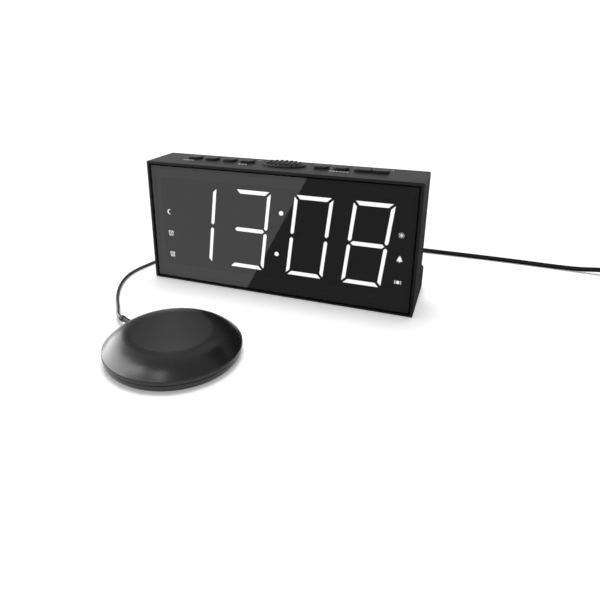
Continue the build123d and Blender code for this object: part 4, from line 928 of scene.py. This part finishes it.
@dataclass
class ClockCase:
    """The clock's shells, its foot and the marks printed beside its keys and sockets.

    The places, strokes and bars of the marks are in millimetres.
    """

    top: float = 88.0 * MM
    rear: float = 8.0 * MM
    print_thickness: float = 0.02 * MM
    behind_keys: float = 2.4
    before_keys: float = -12.9
    second_jobs: tuple[tuple[float, int], ...] = ((-68.4, 4), (-26.9, 3), (40.2, 6))
    bar_pitch: float = 2.2
    bar_size: float = 1.6
    above_sockets: float = 40.5
    power_socket: float = -20.0
    shaker_socket: float = 62.0
    charge_socket: float = -52.0
    stroke: float = 0.34
    fine_stroke: float = 0.272
    socket_stroke: float = 0.4

    def dress(self, dresser: Dresser) -> None:
        """Finishes the shells and what is inside them.

        Args:
            dresser: Gives nodes their finishes.
        """
        dresser.dress(CASE, "case_body")
        dresser.dress(COVER, "rear_cover", "battery_door")
        dresser.dress(PAD, "base_pad")
        dresser.dress(STEEL, "rear_screws", "board_screws", "speaker_basket")
        dresser.dress(PAPER, "speaker_cone")
        dresser.dress(LACQUER, "main_board", "key_board", "display_board")
        dresser.dress(DARK_PLASTIC, "controller_chip", "board_header", "dc_jack", "shaker_jack",
                      "key_switches")
        dresser.dress(RIBBON, "key_ribbon")
        dresser.dress(NICKEL, "usb_socket", "battery_contacts")
        dresser.dress(WHITE_PLASTIC, "usb_tongue")
        dresser.dress(SLEEVE, "battery_cells")

    def build(self, palette: Palette) -> None:
        """Prints the marks of the keys and of the sockets.

        Args:
            palette: The finishes.
        """
        ink = palette.get(INK)
        settle(self._key_marks(), ink)
        settle(self._socket_marks(), ink)

    def _key_marks(self) -> bpy.types.Object:
        """Draws a pictogram behind each key, and short bars in front of the keys that do two things.

        Returns:
            The marks.
        """
        sheet = Outline((0, 0, self.top), RIGHT, BACK)
        marks: dict[float, Callable[[Outline], None]] = {
            -73.2: self._dial, -61.2: self._dots, -47.2: self._bell, -33.6: self._bell, -20.7: self._horn,
            20.4: self._sun, 33.0: self._dots, 46.9: self._minus, 72.0: self._plus,
        }
        for place, mark in marks.items():
            mark(sheet.move(place, self.behind_keys))
        for place, count in self.second_jobs:
            sheet.move(place, self.before_keys)
            for index in range(count):
                left = (index - count / 2) * self.bar_pitch
                sheet.bar((left, 0), (left + self.bar_size, 0), self.bar_size)
        return sheet.solid("key_marks", self.print_thickness)

    def _socket_marks(self) -> bpy.types.Object:
        """Draws a plain pictogram above each socket on the back.

        Returns:
            The marks.
        """
        sheet = Outline((0, self.rear, 0), LEFT, UP)
        self._inlet(sheet.move(self.power_socket, self.above_sockets))
        sheet.move(self.shaker_socket, self.above_sockets)
        sheet.shaken_disc(1.1, (1.9, 2.7), self.socket_stroke, 45, 10)
        self._battery(sheet.move(self.charge_socket, self.above_sockets))
        return sheet.solid("socket_marks", self.print_thickness)

    def _dial(self, sheet: Outline) -> None:
        """Draws a dial with two hands.

        Args:
            sheet: The sheet, with its pen on the mark's middle.
        """
        sheet.arc(1.3, self.stroke)
        for tip in ((0, 0.9), (0.7, 0)):
            sheet.bar((0, 0), tip, self.stroke)

    def _bell(self, sheet: Outline) -> None:
        """Draws a small bell.

        Args:
            sheet: The sheet, with its pen on the mark's middle.
        """
        sheet.polygon([(-1.3, -0.8), (-0.8, -0.2), (-0.7, 0.7), (0.0, 1.3), (0.7, 0.7), (0.8, -0.2),
                       (1.3, -0.8)])
        sheet.disc(0.26, (0, -1.15), 10)

    def _horn(self, sheet: Outline) -> None:
        """Draws a small horn with two waves.

        Args:
            sheet: The sheet, with its pen on the mark's middle.
        """
        sheet.polygon([(-1.4, -0.4), (-0.9, -0.4), (-0.2, -1.0), (-0.2, 1.0), (-0.9, 0.4), (-1.4, 0.4)])
        for radius in (0.7, 1.3):
            sheet.arc(radius, self.fine_stroke, (-48, 48), 8, (-0.2, 0))

    def _sun(self, sheet: Outline) -> None:
        """Draws a sun with its rays."""
        sheet.sun(0.6, (0.9, 1.4), self.fine_stroke, 14)

    def _dots(self, sheet: Outline) -> None:
        """Draws three dots in a row."""
        for place in (-1.1, 0.0, 1.1):
            sheet.disc(0.36, (place, 0), 12)

    def _minus(self, sheet: Outline) -> None:
        """Draws a minus."""
        sheet.bar((-1.1, 0), (1.1, 0), self.stroke)

    def _plus(self, sheet: Outline) -> None:
        """Draws a plus.

        Args:
            sheet: The sheet, with its pen on the mark's middle.
        """
        self._minus(sheet)
        for side in (1, -1):
            sheet.bar((0, side * self.stroke / 2), (0, side * 1.1), self.stroke)

    def _inlet(self, sheet: Outline) -> None:
        """Draws a centre-pin power inlet."""
        sheet.arc(1.9, self.socket_stroke, steps=24)
        sheet.disc(0.7)

    def _battery(self, sheet: Outline) -> None:
        """Draws an upright battery, partly full.

        Args:
            sheet: The sheet, with its pen on the mark's middle.
        """
        corners = ((-1.1, -1.8), (1.1, -1.8), (1.1, 1.6), (-1.1, 1.6))
        for start, end in zip(corners, corners[1:] + corners[:1]):
            sheet.bar(start, end, 0.36)
        sheet.bar((-0.5, 2.05), (0.5, 2.05), 0.5)
        sheet.bar((0, -1.3), (0, 0.4), 1.2)


@dataclass
class Display:
    """The smoked panel, the digits behind it and the indicator pictograms, which are in millimetres."""

    lens_face: float = -22.70 * MM
    glow_thickness: float = 0.05 * MM
    left: float = -81.05
    left_heights: Spot = (51.4, 35.2, 18.9)
    right: float = 83.6
    right_heights: Spot = (53.5, 37.6, 21.9)
    stroke: float = 0.42
    fine_stroke: float = 0.336

    def dress(self, dresser: Dresser) -> None:
        """Finishes the panel and what lies behind it.

        Args:
            dresser: Gives nodes their finishes.
        """
        dresser.dress(PANEL, "front_panel")
        dresser.dress(MASK, "display_mask")
        dresser.dress(LIT, "lit_segments")
        dresser.dress(DULL_SEGMENT, "unlit_segments", "indicator_lenses")
        dresser.dress(LAMP, "segment_leds")

    def build(self, palette: Palette) -> None:
        """Makes the glowing pictograms on the indicator lenses.

        Args:
            palette: The finishes.
        """
        sheet = Outline((0, self.lens_face, 0), RIGHT, UP)
        moon, first_alarm, second_alarm = self.left_heights
        self._moon(sheet.move(self.left, moon))
        self._alarm(sheet.move(self.left, first_alarm), 1)
        self._alarm(sheet.move(self.left, second_alarm), 2)
        sun, bell, shaker = self.right_heights
        sheet.move(self.right, sun).sun(0.8, (1.2, 1.9), self.fine_stroke, 16)
        self._bell(sheet.move(self.right, bell))
        sheet.move(self.right, shaker).shaken_disc(1.15, (2.05,), self.fine_stroke, 38, 8)
        marks = sheet.solid("indicator_marks", self.glow_thickness)
        settle(marks, palette.get(ICON_GLOW))

    def _moon(self, sheet: Outline) -> None:
        """Draws a crescent in slices, with a three-sided one at each tip.

        Args:
            sheet: The sheet, with its pen on the mark's middle.
        """
        outer, thickest, first, span, steps = 1.9, 0.9, 50, 260, 14
        for index in range(steps):
            near, far = (math.radians(first + span * (index + step) / steps) for step in (0, 1))
            near_width, far_width = (thickest * math.sin(math.pi * (index + step) / steps) for step in (0, 1))
            corners = [(near, outer), (far, outer)]
            if index + 1 < steps:
                corners.append((far, outer - far_width))
            if index > 0:
                corners.append((near, outer - near_width))
            sheet.polygon([(reach * math.cos(t), reach * math.sin(t)) for t, reach in corners])

    def _alarm(self, sheet: Outline, strokes: int) -> None:
        """Draws an alarm clock with one or two upright strokes on its dial.

        Args:
            sheet: The sheet, with its pen on the mark's middle.
            strokes: The number of strokes.
        """
        sheet.arc(1.55, self.stroke, steps=20)
        for side in (-1, 1):
            bell = 90 - side * 45
            sheet.arc(2.2, self.stroke, (bell - 20, bell + 20), 6)
            sheet.bar((side * 1.15, -1.35), (side * 1.6, -2.0), self.stroke)
        for index in range(strokes):
            place = (index - (strokes - 1) / 2) * 0.9
            sheet.bar((place, -0.75), (place, 0.75), self.stroke)

    def _bell(self, sheet: Outline) -> None:
        """Draws a filled bell.

        Args:
            sheet: The sheet, with its pen on the mark's middle.
        """
        sheet.polygon([(-2.1, -1.3), (-1.3, -0.5), (-1.15, 0.7), (-0.6, 1.5), (0.0, 1.75), (0.6, 1.5),
                       (1.15, 0.7), (1.3, -0.5), (2.1, -1.3)])
        sheet.disc(0.42, (0, -1.75), 12)
        sheet.disc(0.3, (0, 1.95), 10)


@dataclass
class KeyRow:
    """The keys on the clock's top."""

    small: tuple[str, ...] = ("time_key", "alarm_one_key", "alarm_two_key", "volume_key", "dimmer_key",
                              "mode_key", "minus_key", "plus_key")

    def dress(self, dresser: Dresser) -> None:
        """Finishes the keys.

        Args:
            dresser: Gives nodes their finishes.
        """
        dresser.dress(KEYS, *self.small, "snooze_key", "snooze_collar")


@dataclass
class ShakerPuck:
    """The round shaker with its motor."""

    def dress(self, dresser: Dresser) -> None:
        """Finishes the puck's shells and what is inside them.

        Args:
            dresser: Gives nodes their finishes.
        """
        dresser.dress(PUCK, "shaker_top_shell", "shaker_bottom_shell")
        dresser.dress(PAD, "shaker_foot_ring")
        dresser.dress(PLUG, "shaker_relief")
        dresser.dress(STEEL, "shaker_screws", "shaker_motor", "motor_shaft", "motor_strap")
        dresser.dress(BRASS, "eccentric_weight")
        dresser.dress(WIRE, "motor_wires")


@dataclass(frozen=True)
class Turn:
    """One arc of a coil, which bends to the right. Sizes are in millimetres."""

    start: Vector
    heading: Vector
    radius: float
    drop: float
    angle: float = math.pi

    def at(self, share: float, reach: float) -> Vector:
        """Gives a point of the arc.

        Args:
            share: How far along the arc it is, from 0 to 1.
            reach: Its distance from the arc's middle.

        Returns:
            The point.
        """
        inward = Vector((self.heading.y, -self.heading.x, 0))
        turned = self.angle * share
        return (self.start + inward * self.radius - inward * reach * math.cos(turned)
                + self.heading * reach * math.sin(turned) - Vector((0, 0, self.drop * share)))

    def end(self) -> Vector:
        """Gives the point where the arc ends."""
        return self.at(1.0, self.radius)

    def points(self, count: int) -> list[Vector]:
        """Gives control points, set out so that the curve keeps the arc's radius."""
        reach = self.radius / math.cos(self.angle / count / 2)
        return [self.at((index + 0.5) / count, reach) for index in range(count)]


@dataclass
class Coil:
    """Neat coil of four layers, laid from the top down as the model's own coil is, in millimetres."""

    start: Spot
    heading: Spot
    radius: float
    half_turns: int
    pitch: float
    points_per_half_turn: int = 8

    def _plan(self) -> list[tuple[float, float]]:
        """Lists each half turn's radius and drop, in and out again through four layers.

        Returns:
            The radius and the drop of each half turn.
        """
        sizes = [self.radius - step * self.pitch / 2 for step in range(self.half_turns)]
        inner = self.radius - self.half_turns * self.pitch / 2
        outer = self.radius + self.pitch / 2
        inwards = [(size, 0.0) for size in sizes]
        outwards = inwards[::-1]
        return (inwards + [(inner, self.pitch)] + outwards + [(outer, self.pitch)] + inwards
                + [(inner, self.pitch)] + outwards)

    def turns(self) -> list[Turn]:
        """Lists the half turns and the last quarter turn.

        Returns:
            The arcs, from the top down.
        """
        found: list[Turn] = []
        spot = Vector(self.start)
        way = Vector(self.heading)
        for size, drop in self._plan():
            found.append(Turn(spot, way, size, drop))
            spot = found[-1].end()
            way = -way
        return [*found, Turn(spot, way, self.radius + self.pitch / 2, 0.0, math.pi / 2)]

    def points(self) -> list[Vector]:
        """Gives the coil's control points.

        Returns:
            The points, from the top down.
        """
        *halves, quarter = self.turns()
        found = [point for turn in halves for point in turn.points(self.points_per_half_turn)]
        return found + quarter.points(self.points_per_half_turn // 2)

    def end(self) -> Vector:
        """Gives the point where the last quarter turn ends."""
        return self.turns()[-1].end()


@dataclass
class CordRun:
    """One free cord on a single smooth curve: a lead, a coil and a run along the floor."""

    name: str
    diameter: float
    length: float
    points: list[Vector]
    nodes: tuple[str, ...]
    stiffness: Stiffness
    finish: Finish
    far_end: str = "plug"
    section_steps: int = 4
    steps_per_point: int = 6
    order: int = 3

    def build(self, palette: Palette, on_it: Sequence[bpy.types.Object]) -> bpy.types.Object:
        """Args:
            palette: The finishes.
            on_it: The pieces on the cord; not used.

        Returns:
            The cord.
        """
        curve = bpy.data.curves.new(self.name, "CURVE")
        curve.dimensions = "3D"
        curve.bevel_depth = self.diameter / 2
        curve.bevel_resolution = self.section_steps
        curve.resolution_u = self.steps_per_point
        curve.use_fill_caps = True
        spline = curve.splines.new("NURBS")
        spline.points.add(len(self.points) - 1)
        for point, place in zip(spline.points, self.points):
            point.co = (*(place * MM), 1.0)
        spline.order_u = self.order
        spline.use_endpoint_u = True
        cord = settle(linked(self.name, curve), palette.get(self.finish))
        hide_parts(*self.nodes)
        tuple(self.points[0] * MM)
        return cord


@dataclass(frozen=True)
class PlugRings:
    """Grip rings of one plug, in millimetres."""

    name: str
    first: Spot
    radius: float
    section: float
    count: int = 5
    pitch: float = 1.3


@dataclass(frozen=True)
class AdapterGrips:
    """Upright grip bars on both sides of the mains adapter, in millimetres."""

    cord_end: Spot = (235.0, 93.0, 13.0)
    way: Spot = (0.986, -0.167, 0.0)
    half_width: float = 20.0
    first: float = 47.0
    count: int = 9
    pitch: float = 2.4
    half_length: float = 8.0
    section: float = 0.5


def spots(route: Iterable[Spot]) -> list[Vector]:
    """Gives a route's points as vectors."""
    return [Vector(spot) for spot in route]


@dataclass
class Cords:
    """The shaker's cord and the power cord, with their plugs and ties. Routes are in millimetres."""

    shaker_diameter: float = 2.4 * MM
    shaker_length: float = 1.456
    shaker_lead: tuple[Spot, ...] = ((-62, 33.3, 31), (-62, 45.8, 31), (-62, 65.5, 10.9), (-62, 83.6, 10.9))
    shaker_coil: Coil = field(default_factory=lambda: Coil((-62, 86, 10.9), BACK, 17.4, 6, 2.9))
    shaker_run: tuple[Spot, ...] = (
        (-51.35, 67.15, 2.2), (-68.35, 67.15, 2.2), (-84.5, 57.5, 1.2), (-102.7, 25.2, 1.2),
        (-109.9, -3.4, 1.2), (-115.7, -27.6, 1.2), (-110.4, -48.5, 1.2), (-98.9, -68.6, 1.2),
        (-87.19, -82.55, 1.9), (-76.72, -96.79, 4.8), (-72.96, -98.16, 4.8))
    power_diameter: float = 3.6 * MM
    power_length: float = 1.881
    power_lead: tuple[Spot, ...] = ((20, 33.3, 31), (20, 53.3, 31), (20, 76.3, 2.1))
    power_to_coil: tuple[float, ...] = (22.6, 3.6)
    power_coil: Coil = field(default_factory=lambda: Coil((0, 97.0, 15.1), LEFT, 25.0, 5, 4.1))
    power_from_coil: tuple[float, ...] = (3.6, 18.6)
    power_run: tuple[Spot, ...] = ((48, 97, 1.8), (79, 97, 1.8), (112, 97.4, 1.8), (158, 97.6, 1.8),
                                   (203, 95.6, 1.8), (222, 95.2, 4.6), (235, 93.0, 4.6))
    shaker_rings: PlugRings = PlugRings("shaker_plug_ribs", (-62, 11.4, 31), 3.75, 0.22)
    power_rings: PlugRings = PlugRings("power_plug_ribs", (20, 11.4, 31), 4.85, 0.26)
    grips: AdapterGrips = AdapterGrips()

    def dress(self, dresser: Dresser) -> None:
        """Finishes the plugs and the ties.

        Args:
            dresser: Gives nodes their finishes.
        """
        dresser.dress(PLUG, "shaker_plug", "power_plug", "adapter_relief")
        dresser.dress(NICKEL, "shaker_plug_pin", "power_plug_sleeve", "adapter_blades")
        dresser.dress(BAND, "cord_ties")
        dresser.dress(ADAPTER, "adapter_case")

    def build(self, palette: Palette, nodes: dict[str, bpy.types.Object]) -> None:
        """Makes both cords, the rings of their plugs and the grip bars of the adapter.

        Args:
            palette: The finishes.
            nodes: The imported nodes.
        """
        tree = RibTree("grip_rings", as_rings=True)
        shaker_rings = self._plug_rings(tree, palette, self.shaker_rings)
        power_rings = self._plug_rings(tree, palette, self.power_rings)
        shaker_points = spots(self.shaker_lead) + self.shaker_coil.points() + spots(self.shaker_run)
        shaker = CordRun("shaker_cord_line", self.shaker_diameter, self.shaker_length, shaker_points[::-1],
                         ("shaker_cord", "shaker_cord_coil"), Stiffness.LIMP, THIN_SHEATH)
        shaker.build(palette, [nodes["shaker_plug"], nodes["shaker_plug_pin"], shaker_rings])
        on_power = [nodes[name] for name in ("power_plug", "power_plug_sleeve", "adapter_case",
                                             "adapter_blades", "adapter_relief", "cord_ties")]
        power = CordRun("power_cord_line", self.power_diameter, self.power_length, self._power_points(),
                        ("power_cord", "power_cord_coil"), Stiffness.MEDIUM, SHEATH)
        power.build(palette, [*on_power, power_rings, *self._adapter_grips(palette)])

    def _power_points(self) -> list[Vector]:
        """Gives the power cord's control points, with its coil ending straight behind the plug.

        Returns:
            The points, from the plug to the adapter.
        """
        x, y, z = self.power_coil.start
        coil = replace(self.power_coil, start=(x + self.power_lead[0][0] - self.power_coil.end().x, y, z))
        to_coil = [coil.end() - Vector((0, step, 0)) for step in self.power_to_coil]
        from_coil = [Vector(coil.start) + Vector((step, 0, 0)) for step in self.power_from_coil]
        return spots(self.power_lead) + to_coil + coil.points()[::-1] + from_coil + spots(self.power_run)

    def _plug_rings(self, tree: RibTree, palette: Palette, rings: PlugRings) -> bpy.types.Object:
        """Lays grip rings round a plug.

        Args:
            tree: The tree that repeats rings.
            palette: The finishes.
            rings: Their sizes.

        Returns:
            The rings.
        """
        place = Matrix.Translation(Vector(rings.first) * MM) @ Matrix.Rotation(-math.pi / 2, 4, "X")
        material = palette.get(PLUG)
        made = tree.lay(rings.name, place, count=rings.count, pitch=rings.pitch * MM,
                        reach=rings.radius * MM, thickness=rings.section * MM, material=material)
        return settle(made, material)

    def _adapter_grips(self, palette: Palette) -> list[bpy.types.Object]:
        """Lays upright grip bars on both sides of the adapter.

        Args:
            palette: The finishes.

        Returns:
            The bars of the near side and of the far one.
        """
        tree = RibTree("grip_bars", as_rings=False)
        material = palette.get(ADAPTER)
        way = Vector(self.grips.way)
        upright = Vector(UP)
        turn = Matrix((upright, way.cross(upright), way)).transposed().to_4x4()
        first = Vector(self.grips.cord_end) + way * self.grips.first
        laid = []
        for side, name in ((-1, "adapter_near_grips"), (1, "adapter_far_grips")):
            start = first + upright.cross(way) * (side * self.grips.half_width)
            made = tree.lay(name, Matrix.Translation(start * MM) @ turn, count=self.grips.count,
                            pitch=self.grips.pitch * MM, reach=self.grips.half_length * MM,
                            thickness=self.grips.section * MM, material=material)
            laid.append(settle(made, material))
        return laid


@dataclass(frozen=True)
class Card:
    """A card that shows only in gloss, brighter or darker from its lower edge to its upper one."""

    name: str
    place: Spot
    size: Point
    facing: Spot
    low: float
    high: float
    roll_deg: float = 0.0

    def turn(self) -> Matrix:
        """Gives the rotation that faces the card, with its width level before the roll."""
        facing = Vector(self.facing).to_track_quat("Z", "Y").to_matrix().to_4x4()
        return facing @ Matrix.Rotation(math.radians(self.roll_deg), 4, "Z")


CARDS = (
    Card("left_card", (-0.62, -0.072, 0.383), (0.90, 0.49), RIGHT, 7.0, 2.0, -34.6),
    Card("front_left_card", (-0.49, -0.335, 0.445), (0.54, 0.17), DOWN, 5.4, 5.4),
    Card("front_fade_card", (-0.11, -0.36, 0.445), (0.12, 0.22), DOWN, 0.5, 5.4, 90.0),
    Card("dish_card", (-0.1425, -0.030, 0.08), (0.055, 0.16), FRONT, 0.25, 0.25),
    Card("dish_rise_card", (-0.0985, -0.030, 0.08), (0.16, 0.033), FRONT, 0.60, 0.25, 90.0),
    Card("dish_fall_card", (-0.066, -0.030, 0.08), (0.16, 0.032), FRONT, 0.20, 0.60, 90.0),
    Card("back_flag", (0.03, -0.030, 0.0225), (0.16, 0.045), FRONT, 0.03, 0.03),
    Card("back_rise_card", (0.03, -0.030, 0.0725), (0.16, 0.055), FRONT, 0.03, 0.45),
    Card("overhead_flag", (-0.47, 0.425, 0.45), (1.06, 0.95), DOWN, 0.62, 0.62),
    Card("near_flag", (-0.095, -0.18, 0.45), (0.31, 0.26), DOWN, 0.50, 0.50),
    Card("dark_flag", (0.36, 0.50, 0.45), (0.60, 0.80), DOWN, 0.05, 0.05),
    Card("front_right_flag", (0.36, -0.15, 0.45), (0.60, 0.50), DOWN, 0.50, 0.50),
    Card("side_flag", (0.30, 0.29, 0.0006), (0.41, 0.62), UP, 0.14, 0.14),
    Card("front_flag", (-0.07, -0.35, 0.0006), (0.46, 0.32), UP, 0.05, 0.05),
    Card("corner_flag", (0.075, -0.108, 0.0006), (0.11, 0.16), UP, 0.05, 0.05),
)


@dataclass
class Studio:
    """Camera, lights, floor and cards."""

    eye: Spot = (0.121919, -0.338980, 0.161583)
    turn_deg: float = 20.617
    tilt_deg: float = 20.184
    sensor_mm: float = 36.0
    lens_mm: float = 31.928
    shift: Point = (0.0350, -0.0930)
    nearest: float = 0.01
    white: Colour = (1.0, 1.0, 1.0)
    ambient: float = 0.31
    floor_size: Point = (12.0, 12.0)
    floor_grain: float = 3 * MM
    floor_dims: float = 0.98
    floor_glow: float = 0.28
    sun_strength: float = 1.85
    sun_spread_deg: float = 28.0
    sun_from: Spot = (-0.06, 0.13, 1.0)
    sheen_size: Point = (0.1852, 0.0837)
    sheen_place: Spot = (0.0, -0.02565, 0.04375)
    sheen_lean: float = 0.52
    sheen_until: float = -0.0216
    sheen_levels: Point = (0.27, 1.12)

    def build(self) -> None:
        """Sets up the whole studio."""
        scene = bpy.context.scene
        scene.view_settings.view_transform = "Standard"
        self._camera(scene)
        self._world(scene)
        self._floor()
        self._sun()
        self._panel_card()
        for card in CARDS:
            self._card(card)

    def _camera(self, scene: bpy.types.Scene) -> None:
        """Places the camera at the photograph's viewing angle.

        Args:
            scene: The scene that it belongs to.
        """
        data = bpy.data.cameras.new("camera")
        data.sensor_width = self.sensor_mm
        data.lens = self.lens_mm
        data.shift_x, data.shift_y = self.shift
        data.clip_start = self.nearest
        camera = linked("camera", data)
        camera.location = self.eye
        camera.rotation_euler = (math.radians(90 - self.tilt_deg), 0.0, math.radians(self.turn_deg))
        scene.camera = camera

    def _seen(self, tree: ShaderTree) -> Signal:
        """Tells rays that show a background, which are camera, mirror and glass rays, from others.

        Args:
            tree: The tree that asks.

        Returns:
            1 for such a ray, and 0 for any other.
        """
        camera = tree.add("ShaderNodeLightPath", output="Is Camera Ray")
        glossy = tree.add("ShaderNodeLightPath", output="Is Glossy Ray")
        through = tree.add("ShaderNodeLightPath", output="Is Transmission Ray")
        return camera.maximum(glossy).maximum(through)

    def _world(self, scene: bpy.types.Scene) -> None:
        """Makes a white surround that lights the object at a plain level.

        Args:
            scene: The scene that it surrounds.
        """
        world = bpy.data.worlds.new("studio")
        scene.world = world
        tree = ShaderTree(world)
        level = self.ambient + self._seen(tree) * (1.0 - self.ambient)
        light = tree.add("ShaderNodeBackground", sockets={"Color": (*self.white, 1.0), "Strength": level})
        tree.add("ShaderNodeOutputWorld", sockets={"Surface": light})

    def _plane(self, name: str, size: Point, place: Matrix) -> bpy.types.Object:
        """Makes a stage plane.

        Args:
            name: Its name.
            size: Its width and height.
            place: Where it is.

        Returns:
            The plane.
        """
        shape = bmesh.new()
        corners = ((-1, -1), (1, -1), (1, 1), (-1, 1))
        shape.faces.new([shape.verts.new((x * size[0] / 2, y * size[1] / 2, 0)) for x, y in corners])
        made = placed_mesh(name, shape)
        made.data.transform(place)
        return made

    def _floor(self) -> None:
        """Makes the pale floor, which keeps the object's shadow."""
        floor = self._plane("floor", self.floor_size, Matrix.Identity(4))
        tree = material_tree("floor_paper")
        grain = tree.noise(self.floor_grain)
        paper = tree.between(grain, scaled(self.white, self.floor_dims), self.white)
        dull = tree.add("ShaderNodeBsdfDiffuse", sockets={"Color": paper})
        level = self._seen(tree) * self.floor_glow
        glow = tree.add("ShaderNodeEmission", sockets={"Color": (*self.white, 1.0), "Strength": level})
        tree.end(tree.add("ShaderNodeAddShader", sockets={0: dull, 1: glow}))
        floor.data.materials.append(tree.owner)

    def _sun(self) -> None:
        """Adds a broad overhead light, which gives the floor one level and the object soft shadows."""
        data = bpy.data.lights.new("overhead_light", "SUN")
        data.energy = self.sun_strength
        data.angle = math.radians(self.sun_spread_deg)
        sun = linked("overhead_light", data)
        sun.rotation_euler = Vector(self.sun_from).to_track_quat("Z", "Y").to_euler()
        sun.visible_glossy = False

    def _card(self, card: Card) -> None:
        """Sets up a plain card that gloss shows in place of the white surround.

        Args:
            card: The card.
        """
        turn = card.turn()
        plane = self._plane(card.name, card.size, Matrix.Translation(card.place) @ turn)
        tree = material_tree(card.name)
        up = turn.to_3x3() @ Vector((0, 1 / card.size[1], 0))
        risen = tree.add("ShaderNodeVectorMath", {"operation": "DOT_PRODUCT"}, {0: tree.place(), 1: up},
                         output="Value")
        share = risen + (0.5 - up.dot(Vector(card.place)))
        self._glow_forward(plane, tree, share, (card.low, card.high))

    def _panel_card(self) -> None:
        """Stands a two-tone card before the panel, whose slanting edge shows in its gloss."""
        facing = Matrix.Rotation(-math.pi / 2, 4, "X")
        plane = self._plane("panel_card", self.sheen_size, Matrix.Translation(self.sheen_place) @ facing)
        tree = material_tree("panel_card")
        place = tree.place()
        edge = tree.part_of(place, "X") - tree.part_of(place, "Z") * self.sheen_lean
        self._glow_forward(plane, tree, edge < self.sheen_until, self.sheen_levels)

    def _glow_forward(self, card: bpy.types.Object, tree: ShaderTree, share: Signal, levels: Point) -> None:
        """Makes a card glow on its front, with its back left clear, and lets only gloss show it.

        Args:
            card: The card.
            tree: Its material's tree.
            share: How far it goes from the first level to the second one.
            levels: The two levels.
        """
        low, high = levels
        colour = tree.between(share, scaled(self.white, low), scaled(self.white, high))
        glow = tree.add("ShaderNodeEmission", sockets={"Color": colour})
        clear = tree.add("ShaderNodeBsdfTransparent")
        back = tree.add("ShaderNodeNewGeometry", output="Backfacing")
        tree.end(tree.add("ShaderNodeMixShader", sockets={0: back, 1: glow, 2: clear}))
        card.data.materials.append(tree.owner)
        card.visible_camera = False
        card.visible_diffuse = False
        card.visible_transmission = False
        card.visible_shadow = False
        card.visible_volume_scatter = False


def main() -> None:
    """Builds every sub-assembly in order."""
    logging.basicConfig(level=logging.INFO, format="%(message)s")
    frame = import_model()
    palette = Palette()
    dresser = Dresser(frame["nodes"], palette)
    Studio().build()
    cords = Cords()
    cords.build(palette, frame["nodes"])
    case = ClockCase()
    display = Display()
    for part in (cords, case, display, KeyRow(), ShakerPuck()):
        part.dress(dresser)
    case.build(palette)
    display.build(palette)


if __name__ == "__main__":
    main()
